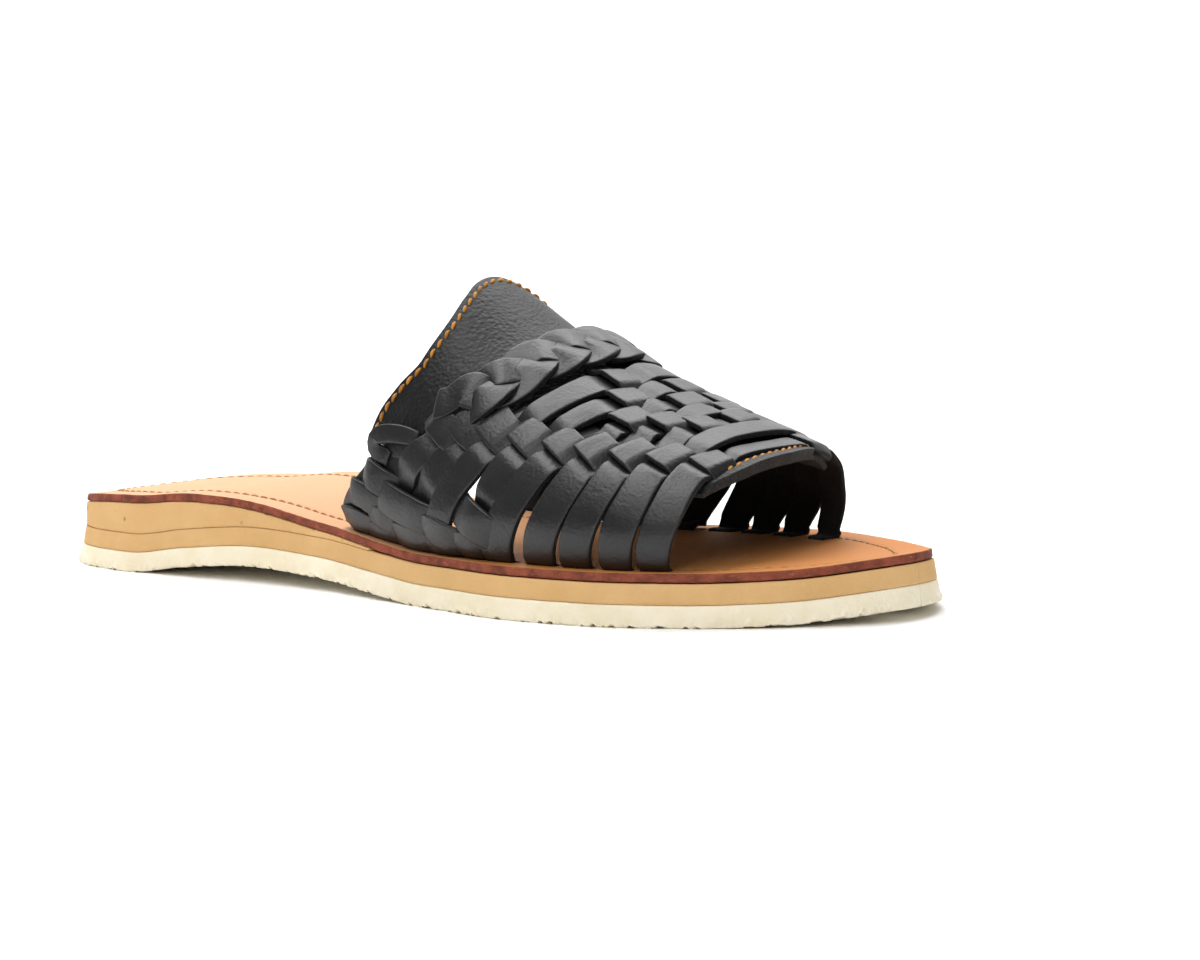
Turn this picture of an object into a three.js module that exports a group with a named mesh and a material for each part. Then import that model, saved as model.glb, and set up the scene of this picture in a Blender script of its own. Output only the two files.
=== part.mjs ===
// Huarache sandal, right shoe, in millimetres. +X points to the toe, +Y to the medial side, +Z up.
// Shoe coordinates run from the back of the insole (x = 0) to its toe (x = INSOLE_LENGTH), with y = 0
// on the heel's axis and z = 0 on the ground. The finished group is moved so that its origin is the
// bottom centre of the bounding box.
import * as THREE from 'three';

// Driving dimensions.
const INSOLE_LENGTH = 279;
const OUTSOLE_THICK = 5.3;
const MIDSOLE_THICK = 4.7;
const INSOLE_THICK = 2.2;
const GAP = 0.3;
const SOLE_FLARE = 2.4;
const MIDSOLE_FLARE = 1.4;
const INSOLE_FLARE = 0.3;
const TOE_FLARE_SHARE = 0.5;
const PANEL_WALL = 1.6;
const WEAVE_WALL = 2.4;
const FOOT_TUCK = 4.5;
const TUCK_HEIGHT = 12;
const WEDGE_END = 128;

// The straps leave the weave as legs at each side of the forefoot, with a slit behind each leg.
const FRONT_LEG = 7.2;
const LEG_PITCH = 10.6;
const LEG_SLIT = 2.2;
const SLIT_COUNT = 4;

// Half widths of the insole, from the heel's axis.
const OUTLINE = [
  { x: 0, lateral: 0, medial: 0 },
  { x: 5, lateral: 16.8, medial: 16 },
  { x: 12, lateral: 24.8, medial: 23.6 },
  { x: 24, lateral: 30.1, medial: 28.4 },
  { x: 42, lateral: 32.8, medial: 30.8 },
  { x: 64, lateral: 32.8, medial: 31 },
  { x: 88, lateral: 32, medial: 28.7 },
  { x: 114, lateral: 34, medial: 27.4 },
  { x: 141, lateral: 39.4, medial: 29.8 },
  { x: 168, lateral: 44.9, medial: 36.8 },
  { x: 194, lateral: 49.4, medial: 45 },
  { x: 216, lateral: 47.9, medial: 47 },
  { x: 239, lateral: 39.8, medial: 41 },
  { x: 257, lateral: 28.6, medial: 30.6 },
  { x: 269, lateral: 17.8, medial: 19.4 },
  { x: 276, lateral: 9, medial: 10 },
  { x: INSOLE_LENGTH, lateral: 0, medial: 0 },
];

// How far the outsole's underside clears the ground: arch and toe spring.
const LIFT = [
  { x: 0, height: 0 },
  { x: 40, height: 0 },
  { x: 62, height: 2.5 },
  { x: 87, height: 4.2 },
  { x: 113, height: 3.3 },
  { x: 140, height: 1.3 },
  { x: 160, height: 0 },
  { x: 240, height: 0 },
  { x: 260, height: 0.6 },
  { x: INSOLE_LENGTH, height: 3 },
];

// How far the heel wedge raises the insole above the midsole.
const HEEL_RISE = [
  { x: 0, height: 4.8 },
  { x: 12, height: 6.5 },
  { x: 25, height: 7.6 },
  { x: 41, height: 8.2 },
  { x: 62, height: 7.2 },
  { x: 87, height: 4.2 },
  { x: 113, height: 1.5 },
  { x: 128, height: 0.8 },
  { x: 150, height: 0 },
  { x: INSOLE_LENGTH, height: 0 },
];

// Sections of the last over the instep and forefoot: crest height above the ground, half widths,
// and the exponent of the section's superellipse, 2 for a round section and more for a flatter one.
const LAST = [
  { x: 116, crest: 97.5, lateral: 31.5, medial: 27.5, fullness: 2 },
  { x: 135, crest: 84, lateral: 35, medial: 30, fullness: 2.05 },
  { x: 150, crest: 75.5, lateral: 38, medial: 32, fullness: 2.1 },
  { x: 165, crest: 65.5, lateral: 41, medial: 34.5, fullness: 2.15 },
  { x: 180, crest: 57, lateral: 43, medial: 36.5, fullness: 2.2 },
  { x: 200, crest: 48, lateral: 44, medial: 38, fullness: 2.3 },
  { x: 220, crest: 40.8, lateral: 42, medial: 37, fullness: 2.4 },
  { x: 236, crest: 36, lateral: 36.5, medial: 32.5, fullness: 2.5 },
  { x: 250, crest: 33, lateral: 29, medial: 26, fullness: 2.5 },
];

// Edges of the woven upper. side runs from -1 at the lateral sole, over the crest at 0, to 1 at the
// medial sole, and rear and toe are the places along the shoe where the weave starts and ends.
const WEAVE_EDGES = [
  { side: -1, rear: 121, toe: 232 },
  { side: -0.9, rear: 129, toe: 234 },
  { side: -0.8, rear: 136, toe: 235.5 },
  { side: -0.7, rear: 145.5, toe: 236 },
  { side: -0.55, rear: 156.5, toe: 236 },
  { side: -0.4, rear: 165, toe: 235.5 },
  { side: -0.2, rear: 169.5, toe: 235 },
  { side: 0, rear: 170.5, toe: 234 },
  { side: 0.2, rear: 169.5, toe: 232.5 },
  { side: 0.4, rear: 165, toe: 231 },
  { side: 0.55, rear: 156.5, toe: 230.5 },
  { side: 0.7, rear: 145.5, toe: 230 },
  { side: 0.8, rear: 136, toe: 229.5 },
  { side: 0.9, rear: 129, toe: 229 },
  { side: 1, rear: 121, toe: 228 },
];

// Edges of the vamp panel, from its lateral hem at -1 to its medial hem at 1: the tongue stands up at
// the rear and a lip crosses the toe opening at the front.
const PANEL_EDGES = [
  { across: -1, rear: 134, toe: 236 },
  { across: -0.85, rear: 141.5, toe: 237.5 },
  { across: -0.65, rear: 149, toe: 239.5 },
  { across: -0.4, rear: 149.5, toe: 240.5 },
  { across: -0.15, rear: 146.5, toe: 240.5 },
  { across: 0, rear: 145.5, toe: 240 },
  { across: 0.15, rear: 146.5, toe: 239 },
  { across: 0.4, rear: 149.5, toe: 236.5 },
  { across: 0.65, rear: 149, toe: 234 },
  { across: 0.85, rear: 141.5, toe: 232.5 },
  { across: 1, rear: 134, toe: 231.5 },
];
const PANEL_HEM_AT_TONGUE = 0.77;
const PANEL_HEM_AT_TOE = 0.54;

// Grid densities.
const SOLE_STATIONS = 40;
const WEAVE_ROWS = 28;
const SLIT_ROWS = 3;
const PANEL_STATIONS = 14;
const PANEL_ROWS = 18;

function mix(a, b, t) {
  return a + (b - a) * t;
}

// Monotone cubic through a table's rows, so that a curve never runs past a stated dimension.
// place gives a row's position along the curve.
function through(rows, column, place) {
  const at = rows.map(place);
  const value = rows.map((row) => row[column]);
  const chord = at.slice(1).map((end, i) => (value[i + 1] - value[i]) / (end - at[i]));
  const slope = value.map((_, i) => {
    if (i === 0) return chord[0];
    if (i === chord.length) return chord[i - 1];
    const product = chord[i - 1] * chord[i];
    return product <= 0 ? 0 : (2 * product) / (chord[i - 1] + chord[i]);
  });
  return (position) => {
    const p = THREE.MathUtils.clamp(position, at[0], at[at.length - 1]);
    let i = 0;
    while (i < at.length - 2 && p > at[i + 1]) i += 1;
    const span = at[i + 1] - at[i];
    const t = (p - at[i]) / span;
    const start = value[i] * (1 + 2 * t) * (1 - t) ** 2 + slope[i] * span * t * (1 - t) ** 2;
    const end = value[i + 1] * t * t * (3 - 2 * t) - slope[i + 1] * span * t * t * (1 - t);
    return start + end;
  };
}

const byX = (row) => row.x;

// The angle of a place on a half circle laid over the insole's length. Widths interpolated over it
// round off at the heel and the toe.
const roundAngle = (x) => Math.acos(THREE.MathUtils.clamp(1 - (2 * x) / INSOLE_LENGTH, -1, 1));
const lateralByAngle = through(OUTLINE, 'lateral', (row) => roundAngle(row.x));
const medialByAngle = through(OUTLINE, 'medial', (row) => roundAngle(row.x));

const lift = through(LIFT, 'height', byX);
const heelRise = through(HEEL_RISE, 'height', byX);
const outsoleTop = (x) => lift(x) + OUTSOLE_THICK;
const midsoleBottom = (x) => outsoleTop(x) + GAP;
const midsoleTop = (x) => midsoleBottom(x) + MIDSOLE_THICK;
const insoleBottom = (x) => midsoleTop(x) + GAP + heelRise(x);
const insoleTop = (x) => insoleBottom(x) + INSOLE_THICK;

// A closed BufferGeometry from a list of points and a list of triangles that index them.
function closedGeometry(points, triangles) {
  const geometry = new THREE.BufferGeometry();
  geometry.setAttribute('position', new THREE.Float32BufferAttribute(points.flat(), 3));
  geometry.setIndex(triangles.flat());
  geometry.computeVertexNormals();
  return geometry;
}

// One layer of the sole: a slab between two height functions, inside the insole's outline grown by
// topFlare and bottomFlare, less so at the toe. It runs from the heel to the place given by end.
function soleLayer({ bottom, top, bottomFlare, topFlare, end = INSOLE_LENGTH }) {
  const endAngle = roundAngle(end);
  const noseWidth = 0.4;
  const flareBlend = 12;
  const points = [];
  for (let i = 0; i <= SOLE_STATIONS; i += 1) {
    const angle = (endAngle * i) / SOLE_STATIONS;
    const x = (INSOLE_LENGTH * (1 - Math.cos(angle))) / 2;
    const lateral = Math.max(lateralByAngle(angle), noseWidth);
    const medial = Math.max(medialByAngle(angle), noseWidth);
    const corner = (halfWidth, sign, flare, height) => {
      const stretched = x + flare * mix(-1, TOE_FLARE_SHARE, x / INSOLE_LENGTH);
      return [stretched, sign * (halfWidth + flare * Math.min(1, halfWidth / flareBlend)), height(x)];
    };
    points.push(corner(lateral, -1, bottomFlare, bottom));
    points.push(corner(medial, 1, bottomFlare, bottom));
    points.push(corner(medial, 1, topFlare, top));
    points.push(corner(lateral, -1, topFlare, top));
  }
  const triangles = [[0, 2, 1], [0, 3, 2]];
  for (let i = 0; i < SOLE_STATIONS; i += 1) {
    for (let k = 0; k < 4; k += 1) {
      const a = 4 * i + k;
      const b = 4 * i + ((k + 1) % 4);
      triangles.push([a, b, b + 4], [a, b + 4, a + 4]);
    }
  }
  const last = 4 * SOLE_STATIONS;
  triangles.push([last, last + 1, last + 2], [last, last + 2, last + 3]);
  return closedGeometry(points, triangles);
}

const crest = through(LAST, 'crest', byX);
const lastLateral = through(LAST, 'lateral', byX);
const lastMedial = through(LAST, 'medial', byX);
const fullness = through(LAST, 'fullness', byX);

// The last's surface: a superellipse section that stands on the insole at each place x. side is -1 at
// the lateral sole, 0 on the crest and 1 at the medial sole.
function lastSurface(x, side) {
  const power = 2 / fullness(x);
  const sine = Math.sin((side * Math.PI) / 2);
  const rise = Math.abs(Math.cos((side * Math.PI) / 2)) ** power;
  const base = insoleTop(x) + GAP;
  const halfWidth = sine < 0 ? lastLateral(x) : lastMedial(x);
  const y = Math.sign(sine) * halfWidth * Math.abs(sine) ** power;
  return new THREE.Vector3(x, y, base + (crest(x) - base) * rise);
}

// A point at a given distance outside the last. Close to the insole the wall tucks inward.
function wallPoint(x, side, distance) {
  const step = 0.001;
  const inner = THREE.MathUtils.clamp(side, -0.985, 0.985);
  const alongShoe = lastSurface(x + step, inner).sub(lastSurface(x - step, inner));
  const acrossShoe = lastSurface(x, inner + step).sub(lastSurface(x, inner - step));
  const normal = alongShoe.cross(acrossShoe).normalize();
  if (Math.abs(side) > 0.97) normal.setZ(0).normalize();
  const point = lastSurface(x, side);
  const height = point.z - insoleTop(x) - GAP;
  const tuck = FOOT_TUCK * Math.max(0, 1 - height / TUCK_HEIGHT) ** 2;
  point.addScaledVector(normal, distance);
  return [point.x, point.y - Math.sign(side) * tuck, point.z];
}

// A wall with two skins over a grid of columns and rows. skin(i, j, outer) gives a grid point, and
// kept(i, j) says whether a cell belongs to the wall. Rims close every cell that borders a gap.
function doubleWall(columns, rows, skin, kept) {
  const points = [];
  const index = new Map();
  const vertex = (i, j, outer) => {
    const key = `${i},${j},${outer}`;
    if (!index.has(key)) {
      index.set(key, points.length);
      points.push(skin(i, j, outer));
    }
    return index.get(key);
  };
  const triangles = [];
  const quad = (a, b, c, d) => triangles.push([a, b, c], [a, c, d]);
  const isKept = (i, j) => i >= 0 && j >= 0 && i < columns && j < rows && kept(i, j);
  const rim = (i1, j1, i2, j2) => {
    quad(vertex(i1, j1, false), vertex(i2, j2, false), vertex(i2, j2, true), vertex(i1, j1, true));
  };
  for (let i = 0; i < columns; i += 1) {
    for (let j = 0; j < rows; j += 1) {
      if (!isKept(i, j)) continue;
      const cell = [[i, j], [i + 1, j], [i + 1, j + 1], [i, j + 1]];
      quad(...cell.map(([a, b]) => vertex(a, b, true)));
      quad(...cell.map(([a, b]) => vertex(a, b, false)).reverse());
      if (!isKept(i, j - 1)) rim(i, j, i + 1, j);
      if (!isKept(i + 1, j)) rim(i + 1, j, i + 1, j + 1);
      if (!isKept(i, j + 1)) rim(i + 1, j + 1, i, j + 1);
      if (!isKept(i - 1, j)) rim(i, j + 1, i, j);
    }
  }
  return closedGeometry(points, triangles);
}

// Places along the weave, as fractions from its rear edge to its toe edge: a plain stretch, then the
// slits and legs of the forefoot.
function weaveStations() {
  const baseRow = WEAVE_EDGES[0];
  const length = baseRow.toe - baseRow.rear;
  const plainCells = 8;
  const slitStart = (leg) => 1 - (FRONT_LEG + LEG_SLIT + (leg - 1) * LEG_PITCH) / length;
  const firstSlit = slitStart(SLIT_COUNT);
  const stations = [];
  for (let i = 0; i < plainCells; i += 1) stations.push({ at: (firstSlit * i) / plainCells, slit: false });
  for (let leg = SLIT_COUNT; leg >= 1; leg -= 1) {
    const legStart = slitStart(leg) + LEG_SLIT / length;
    const legEnd = leg === 1 ? 1 : slitStart(leg - 1);
    stations.push({ at: slitStart(leg), slit: true });
    stations.push({ at: legStart, slit: false });
    stations.push({ at: (legStart + legEnd) / 2, slit: false });
  }
  stations.push({ at: 1, slit: false });
  return stations;
}

function wovenUpper() {
  const rear = through(WEAVE_EDGES, 'rear', (row) => row.side);
  const toe = through(WEAVE_EDGES, 'toe', (row) => row.side);
  const stations = weaveStations();
  const innerFace = PANEL_WALL + GAP;
  const skin = (i, j, outer) => {
    const side = mix(-1, 1, j / WEAVE_ROWS);
    const x = mix(rear(side), toe(side), stations[i].at);
    return wallPoint(x, side, outer ? innerFace + WEAVE_WALL : innerFace);
  };
  const inSlit = (i, j) => stations[i].slit && (j < SLIT_ROWS || j >= WEAVE_ROWS - SLIT_ROWS);
  return doubleWall(stations.length - 1, WEAVE_ROWS, skin, (i, j) => !inSlit(i, j));
}

function vampPanel() {
  const rear = through(PANEL_EDGES, 'rear', (row) => row.across);
  const toe = through(PANEL_EDGES, 'toe', (row) => row.across);
  const skin = (i, j, outer) => {
    const across = mix(-1, 1, j / PANEL_ROWS);
    const forward = i / PANEL_STATIONS;
    const hem = mix(PANEL_HEM_AT_TONGUE, PANEL_HEM_AT_TOE, forward);
    return wallPoint(mix(rear(across), toe(across), forward), across * hem, outer ? PANEL_WALL : 0);
  };
  return doubleWall(PANEL_STATIONS, PANEL_ROWS, skin, () => true);
}

function named(name, geometry, colour, roughness) {
  const material = new THREE.MeshStandardMaterial({ color: colour, roughness, metalness: 0 });
  const mesh = new THREE.Mesh(geometry, material);
  mesh.name = name;
  return mesh;
}

const outsole = soleLayer({
  bottom: lift, top: outsoleTop, bottomFlare: SOLE_FLARE, topFlare: MIDSOLE_FLARE,
});
const midsole = soleLayer({
  bottom: midsoleBottom, top: midsoleTop, bottomFlare: MIDSOLE_FLARE, topFlare: INSOLE_FLARE * 2,
});
const heelWedge = soleLayer({
  bottom: (x) => midsoleTop(x) + GAP,
  top: (x) => midsoleTop(x) + heelRise(x),
  bottomFlare: INSOLE_FLARE * 2,
  topFlare: INSOLE_FLARE,
  end: WEDGE_END,
});
const insole = soleLayer({
  bottom: insoleBottom, top: insoleTop, bottomFlare: INSOLE_FLARE, topFlare: 0,
});

const sandal = new THREE.Group();
sandal.add(named('outsole', outsole, '#f0e4c8', 0.85));
sandal.add(named('midsole', midsole, '#ddb27a', 0.85));
sandal.add(named('heel_wedge', heelWedge, '#d9ad76', 0.85));
sandal.add(named('insole', insole, '#d9a878', 0.6));
sandal.add(named('vamp_panel', vampPanel(), '#1d1d1f', 0.55));
sandal.add(named('upper', wovenUpper(), '#17171a', 0.45));

const box = new THREE.Box3().setFromObject(sandal);
const centre = box.getCenter(new THREE.Vector3());
sandal.position.set(-centre.x, -centre.y, -box.min.z);

export default sandal;
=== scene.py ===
import math

import bpy
import numpy as np
from mathutils import Matrix


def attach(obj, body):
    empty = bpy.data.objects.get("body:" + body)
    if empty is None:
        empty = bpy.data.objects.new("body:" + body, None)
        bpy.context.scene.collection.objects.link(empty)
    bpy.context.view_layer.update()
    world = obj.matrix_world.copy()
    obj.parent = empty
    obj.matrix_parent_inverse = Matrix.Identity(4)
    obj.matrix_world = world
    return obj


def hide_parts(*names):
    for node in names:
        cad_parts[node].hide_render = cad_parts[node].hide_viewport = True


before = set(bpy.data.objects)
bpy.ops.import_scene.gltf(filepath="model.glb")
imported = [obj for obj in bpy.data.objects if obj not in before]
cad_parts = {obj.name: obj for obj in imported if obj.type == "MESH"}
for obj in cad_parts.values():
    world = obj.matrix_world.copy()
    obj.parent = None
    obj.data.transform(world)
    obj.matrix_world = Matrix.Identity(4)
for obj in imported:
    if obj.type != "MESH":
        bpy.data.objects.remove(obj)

bl_info = {
    "name": "Woven huarache sandal",
    "version": (1, 0, 0),
    "blender": (4, 5, 0),
    "location": "View3D > Sidebar > Sandal",
    "description": "Builds a woven leather slip-on sandal over its packed solids",
    "category": "Add Mesh",
}

# Shoe sizes are in millimetres: x from the back of the insole to its toe, y from the heel's axis
# (lateral side negative), z from the ground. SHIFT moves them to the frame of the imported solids.
SHIFT = np.array([-139.475, 0.998, 0.0])
INSOLE_LENGTH = 279.0
OUTSOLE_THICK, MIDSOLE_THICK, INSOLE_THICK, GAP = 5.3, 4.7, 2.2, 0.3
SOLE_FLARE, MIDSOLE_FLARE, INSOLE_FLARE, TOE_FLARE_SHARE = 2.4, 1.4, 0.3, 0.5
WEDGE_END = 128.0
PANEL_WALL = 1.6
# The panel from tongue to lip, and the lip's second ply: its thickness and width.
PANEL_LENGTH, LIP_PLY, LIP_WIDTH = 95.0, 1.5, 5.0
# A stitch of the panel: length, radius, how deep its ends sink and how far it leans, in radians.
STITCH_LENGTH, STITCH_RADIUS, STITCH_SINK, STITCH_LEAN = 2.7, 0.52, 0.22, 0.28
# The last pulls in by FOOT_TUCK towards the sole, below TUCK_HEIGHT.
FOOT_TUCK, TUCK_HEIGHT = 4.5, 12.0
# A strap's foot runs over the insole by FOOT_RUN for one unit of side past the sole line. It turns flat
# within FOOT_TURN and rises a little, then goes free for FOOT_FREE (lateral, medial) and sinks in.
FOOT_RUN, FOOT_TURN, FOOT_RISE = 68.0, 2.5, 0.5
FOOT_FREE, FOOT_SINK, SINK_RUN = (0.8, 4.5), 2.4, 3.0
# Height of the weave's middle over the last, on a foot, and where lengths along the last are measured.
RIDE, GAUGE_HEIGHT = 3.4, 3.0
# Millimetres across the last for one unit of side. A covered strap dives by DIVE over COVER_FADE, which
# starts COVER_LAP inside the edge of the strap over it, if that one's middle is within COVER_REACH.
ACROSS, DIVE, COVER_FADE, COVER_LAP, COVER_REACH = 62.0, 1.9, 5.6, 1.0, 4.8
# Steps along a long strap and along the plait, and how far back the medial side's copies lie.
STRAP_STEP, PLAIT_STEP, CROSSING_BACK, MEDIAL_BACK = 1.1, 0.8, 3.4, 2.5
# The plait: length of one turn of a strand, where on the line the turns are counted from and at which
# share of a turn, how far a strand swings, its height over the last and its half width.
PLAIT_TURN, PLAIT_START, PLAIT_PHASE, PLAIT_SWING = 34.0, -0.375, 0.400, 3.7
PLAIT_HEIGHT, PLAIT_DROP, PLAIT_HALF = 4.9, 4.6, 4.5

# Insole half widths: x, lateral, medial.
OUTLINE = np.array([
    (0, 0, 0), (5, 16.8, 16), (12, 24.8, 23.6), (24, 30.1, 28.4), (42, 32.8, 30.8), (64, 32.8, 31),
    (88, 32, 28.7), (114, 34, 27.4), (141, 39.4, 29.8), (168, 44.9, 36.8), (194, 49.4, 45),
    (216, 47.9, 47), (239, 39.8, 41), (257, 28.6, 30.6), (269, 17.8, 19.4), (276, 9, 10), (279, 0, 0),
])
# Clearance under the outsole: x, height.
LIFT = np.array([
    (0, 0), (40, 0), (62, 2.5), (87, 4.2), (113, 3.3), (140, 1.3), (160, 0), (240, 0), (260, 0.6),
    (279, 3),
])
# What the wedge raises the insole by: x, height.
HEEL_RISE = np.array([
    (0, 4.8), (12, 6.5), (25, 7.6), (41, 8.2), (62, 7.2), (87, 4.2), (113, 1.5), (128, 0.8), (150, 0),
    (279, 0),
])
# Sections of the last: x, crest height, lateral and medial half width, exponent of the superellipse.
LAST = np.array([
    (116, 97.5, 31.5, 27.5, 2), (135, 84, 35, 30, 2.05), (150, 75.5, 38, 32, 2.1),
    (165, 65.5, 41, 34.5, 2.15), (180, 57, 43, 36.5, 2.2), (200, 48, 44, 38, 2.3),
    (220, 40.8, 42, 37, 2.4), (236, 36, 36.5, 32.5, 2.5), (250, 33, 29, 26, 2.5),
])
# Edges of the vamp panel: share across from hem to hem, x of the tongue edge, x of the lip edge.
PANEL_EDGES = np.array([
    (-1, 133, 238), (-0.9, 136.3, 239), (-0.8, 140.8, 240), (-0.65, 146.6, 241.2), (-0.43, 148.6, 242),
    (-0.26, 147.4, 242), (-0.14, 145.8, 241.8), (0, 145, 241.2), (0.15, 146, 240), (0.4, 149, 237.5),
    (0.65, 149, 234), (0.85, 141.5, 232.5), (1, 134, 231.5),
])
HEM_AT_TONGUE, HEM_AT_TOE = 0.77, 0.54

# The woven straps run from sole to sole over the last. side is -1 at the lateral sole, 0 on the crest
# and 1 at the medial sole. Each row is side, x of the strap's middle, half width.
STRAP_RUNS = {
    "toe_strap": [
        (-1.06, 228.6, 2.6), (-1, 229.4, 3.6), (-.84, 231.8, 3.9), (-.7, 233.2, 4.2), (-.6, 233.6, 4.2),
        (-.42, 234.0, 4.2), (-.33, 234.5, 3.4), (-.25, 234.9, 2.7), (0, 235.0, 2.6), (.22, 232.6, 3.0),
        (.37, 229.6, 4.0), (.7, 226.6, 4.3), (.84, 225.6, 4.2), (1, 225.0, 3.6), (1.12, 226.2, 2.4),
    ],
    "strap_2": [
        (-1.06, 219.6, 3.0), (-1, 220.7, 3.6), (-.84, 223.2, 4.0), (-.7, 224.8, 4.2), (-.6, 225.3, 4.2),
        (-.455, 225.9, 4.1), (-.38, 226.9, 3.8), (-.29, 228.4, 3.4), (-.2, 228.0, 3.6), (-.1, 227.3, 3.6),
        (0, 226.8, 3.6), (.25, 224.8, 3.9), (.43, 221.4, 4.3), (.7, 219.4, 4.5), (.84, 217.0, 4.5),
        (1, 214.0, 4.0), (1.12, 214.6, 2.6),
    ],
    "strap_3": [
        (-1.06, 209.2, 3.2), (-1, 210.0, 4.0), (-.84, 213.5, 4.2), (-.7, 216.0, 4.3), (-.6, 217.1, 4.3),
        (-.505, 217.6, 4.2), (-.43, 219.6, 3.8), (-.35, 221.6, 3.4), (-.25, 221.6, 3.6),
        (-.15, 220.8, 3.5), (0, 220.2, 3.5), (.3, 217.2, 3.9), (.49, 212.8, 4.4), (.7, 210.4, 4.6),
        (.84, 207.6, 4.7), (1, 203.8, 4.2), (1.12, 204.0, 2.8),
    ],
    "strap_4": [
        (-1.06, 198.4, 3.4), (-1, 199.4, 4.2), (-.84, 203.8, 4.4), (-.7, 206.9, 4.5), (-.6, 208.6, 4.4),
        (-.542, 209.2, 4.3), (-.476, 211.6, 3.9), (-.41, 213.9, 3.5), (-.35, 214.7, 3.7),
        (-.27, 214.6, 3.5), (-.15, 214.4, 3.5), (0, 213.8, 3.5), (.3, 210.6, 3.9), (.527, 204.0, 4.4),
        (.7, 201.4, 4.6), (.84, 198.4, 4.7), (1, 193.8, 4.4), (1.12, 193.8, 3.0),
    ],
    "strap_5": [
        (-1.06, 185.2, 3.6), (-1, 185.8, 4.6), (-.84, 191.0, 4.7), (-.725, 194.9, 4.6),
        (-.65, 197.3, 4.5), (-.568, 200.0, 4.6), (-.50, 203.0, 3.8), (-.42, 206.4, 3.4),
        (-.35, 207.8, 3.5), (-.24, 207.9, 3.6), (-.1, 207.5, 3.8), (0, 207.3, 3.8), (.3, 203.8, 4.0),
        (.55, 195.0, 4.4), (.725, 189.6, 4.6), (.84, 187, 4.6), (1, 181.8, 4.5), (1.12, 181.4, 4.4),
    ],
    "strap_6": [
        (-.93, 180.4, 4.0), (-.87, 182.2, 4.5), (-.83, 183.2, 4.6), (-.77, 184.6, 4.5),
        (-.72, 186.0, 4.5), (-.65, 188.4, 4.4), (-.596, 189.9, 4.4), (-.53, 193.6, 3.8),
        (-.45, 196.5, 3.4), (-.35, 198.6, 3.6), (-.25, 200.1, 3.7), (-.1, 200.0, 3.6), (0, 199.8, 3.7),
        (.3, 195.8, 4.0), (.59, 186.0, 4.2), (.74, 180.6, 4.8), (.85, 176.4, 5.2), (.92, 173.0, 5.2),
    ],
    "strap_7": [
        (-.965, 164.2, 4.0), (-.90, 167.4, 4.4), (-.85, 169.3, 4.5), (-.80, 171.7, 4.4),
        (-.73, 175.6, 4.4), (-.65, 179.2, 4.2), (-.61, 180.6, 4.0), (-.55, 184.0, 3.8), (-.5, 186.6, 3.8),
        (-.4, 188.9, 4.0), (-.3, 190.7, 4.1), (-.2, 191.6, 4.3), (0, 191.2, 4.2), (.3, 187.6, 4.1),
        (.62, 176.6, 4.4), (.72, 171.8, 5.0), (.82, 166.6, 5.6), (.90, 163.6, 5.6), (.955, 160.2, 5.2),
    ],
    "strap_8": [
        (-.96, 153.6, 4.0), (-.90, 156.6, 4.4), (-.857, 159.4, 4.5), (-.82, 161.3, 4.5),
        (-.77, 164.6, 4.5), (-.72, 167.8, 4.3), (-.66, 170.8, 4.0), (-.6, 173.2, 3.9),
        (-.545, 175.4, 3.6),
    ],
    "strap_9": [
        (-.93, 144.8, 4.0), (-.88, 148.2, 4.4), (-.845, 150.8, 4.5), (-.795, 153.8, 4.5),
        (-.71, 160.0, 4.2), (-.67, 162.2, 3.9), (-.605, 165.6, 3.4),
    ],
}
# Short visible lengths of the crossing straps: x and side of the middle, change of side per
# millimetre of x, half width and half length in millimetres. The first row goes down the lateral side
# from lip to ear, and is repeated on the medial side.
CROSSINGS = [
    (234.2, -.3185, -.0072, 4.1, 4.6), (225.75, -.382, -.0056, 4.5, 8.2),
    (217.5, -.4335, -.0066, 4.4, 8.4), (208.6, -.476, -.0074, 4.1, 8.6), (200.0, -.509, -.0060, 3.7, 8.8),
    (189.75, -.5355, -.0052, 3.9, 9.0), (180.0, -.556, -.0058, 4.3, 9.0),
    (170.75, -.596, -.0048, 4.1, 8.6), (164.0, -.640, -.0042, 3.7, 5.4), (219.9, -.080, -.0012, 4.1, 7.6),
    (214.5, -.1665, -.0012, 4.2, 7.6), (207.75, -.243, -.0012, 4.2, 7.8), (207.3, .030, -.0010, 4.1, 8.0),
    (200.4, -.142, -.0012, 4.2, 8.2), (192.1, -.066, -.0010, 3.6, 8.6), (218.6, .092, .0012, 4.1, 7.6),
    (212.8, .1665, .0012, 4.2, 7.6), (205.2, .243, .0012, 4.2, 7.8), (198.6, .142, .0012, 4.2, 8.2),
]
SIDE_CROSSINGS = 9
# Where the rear legs run under the plaited corner: the same columns without the half length.
TUCKS = [
    (182.0, -.923, -.0062, 4.5), (167.5, -.988, -.0039, 4.5), (159.6, -.932, -.0073, 4.7),
    (150.5, -.9165, -.0043, 4.5),
]
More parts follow.
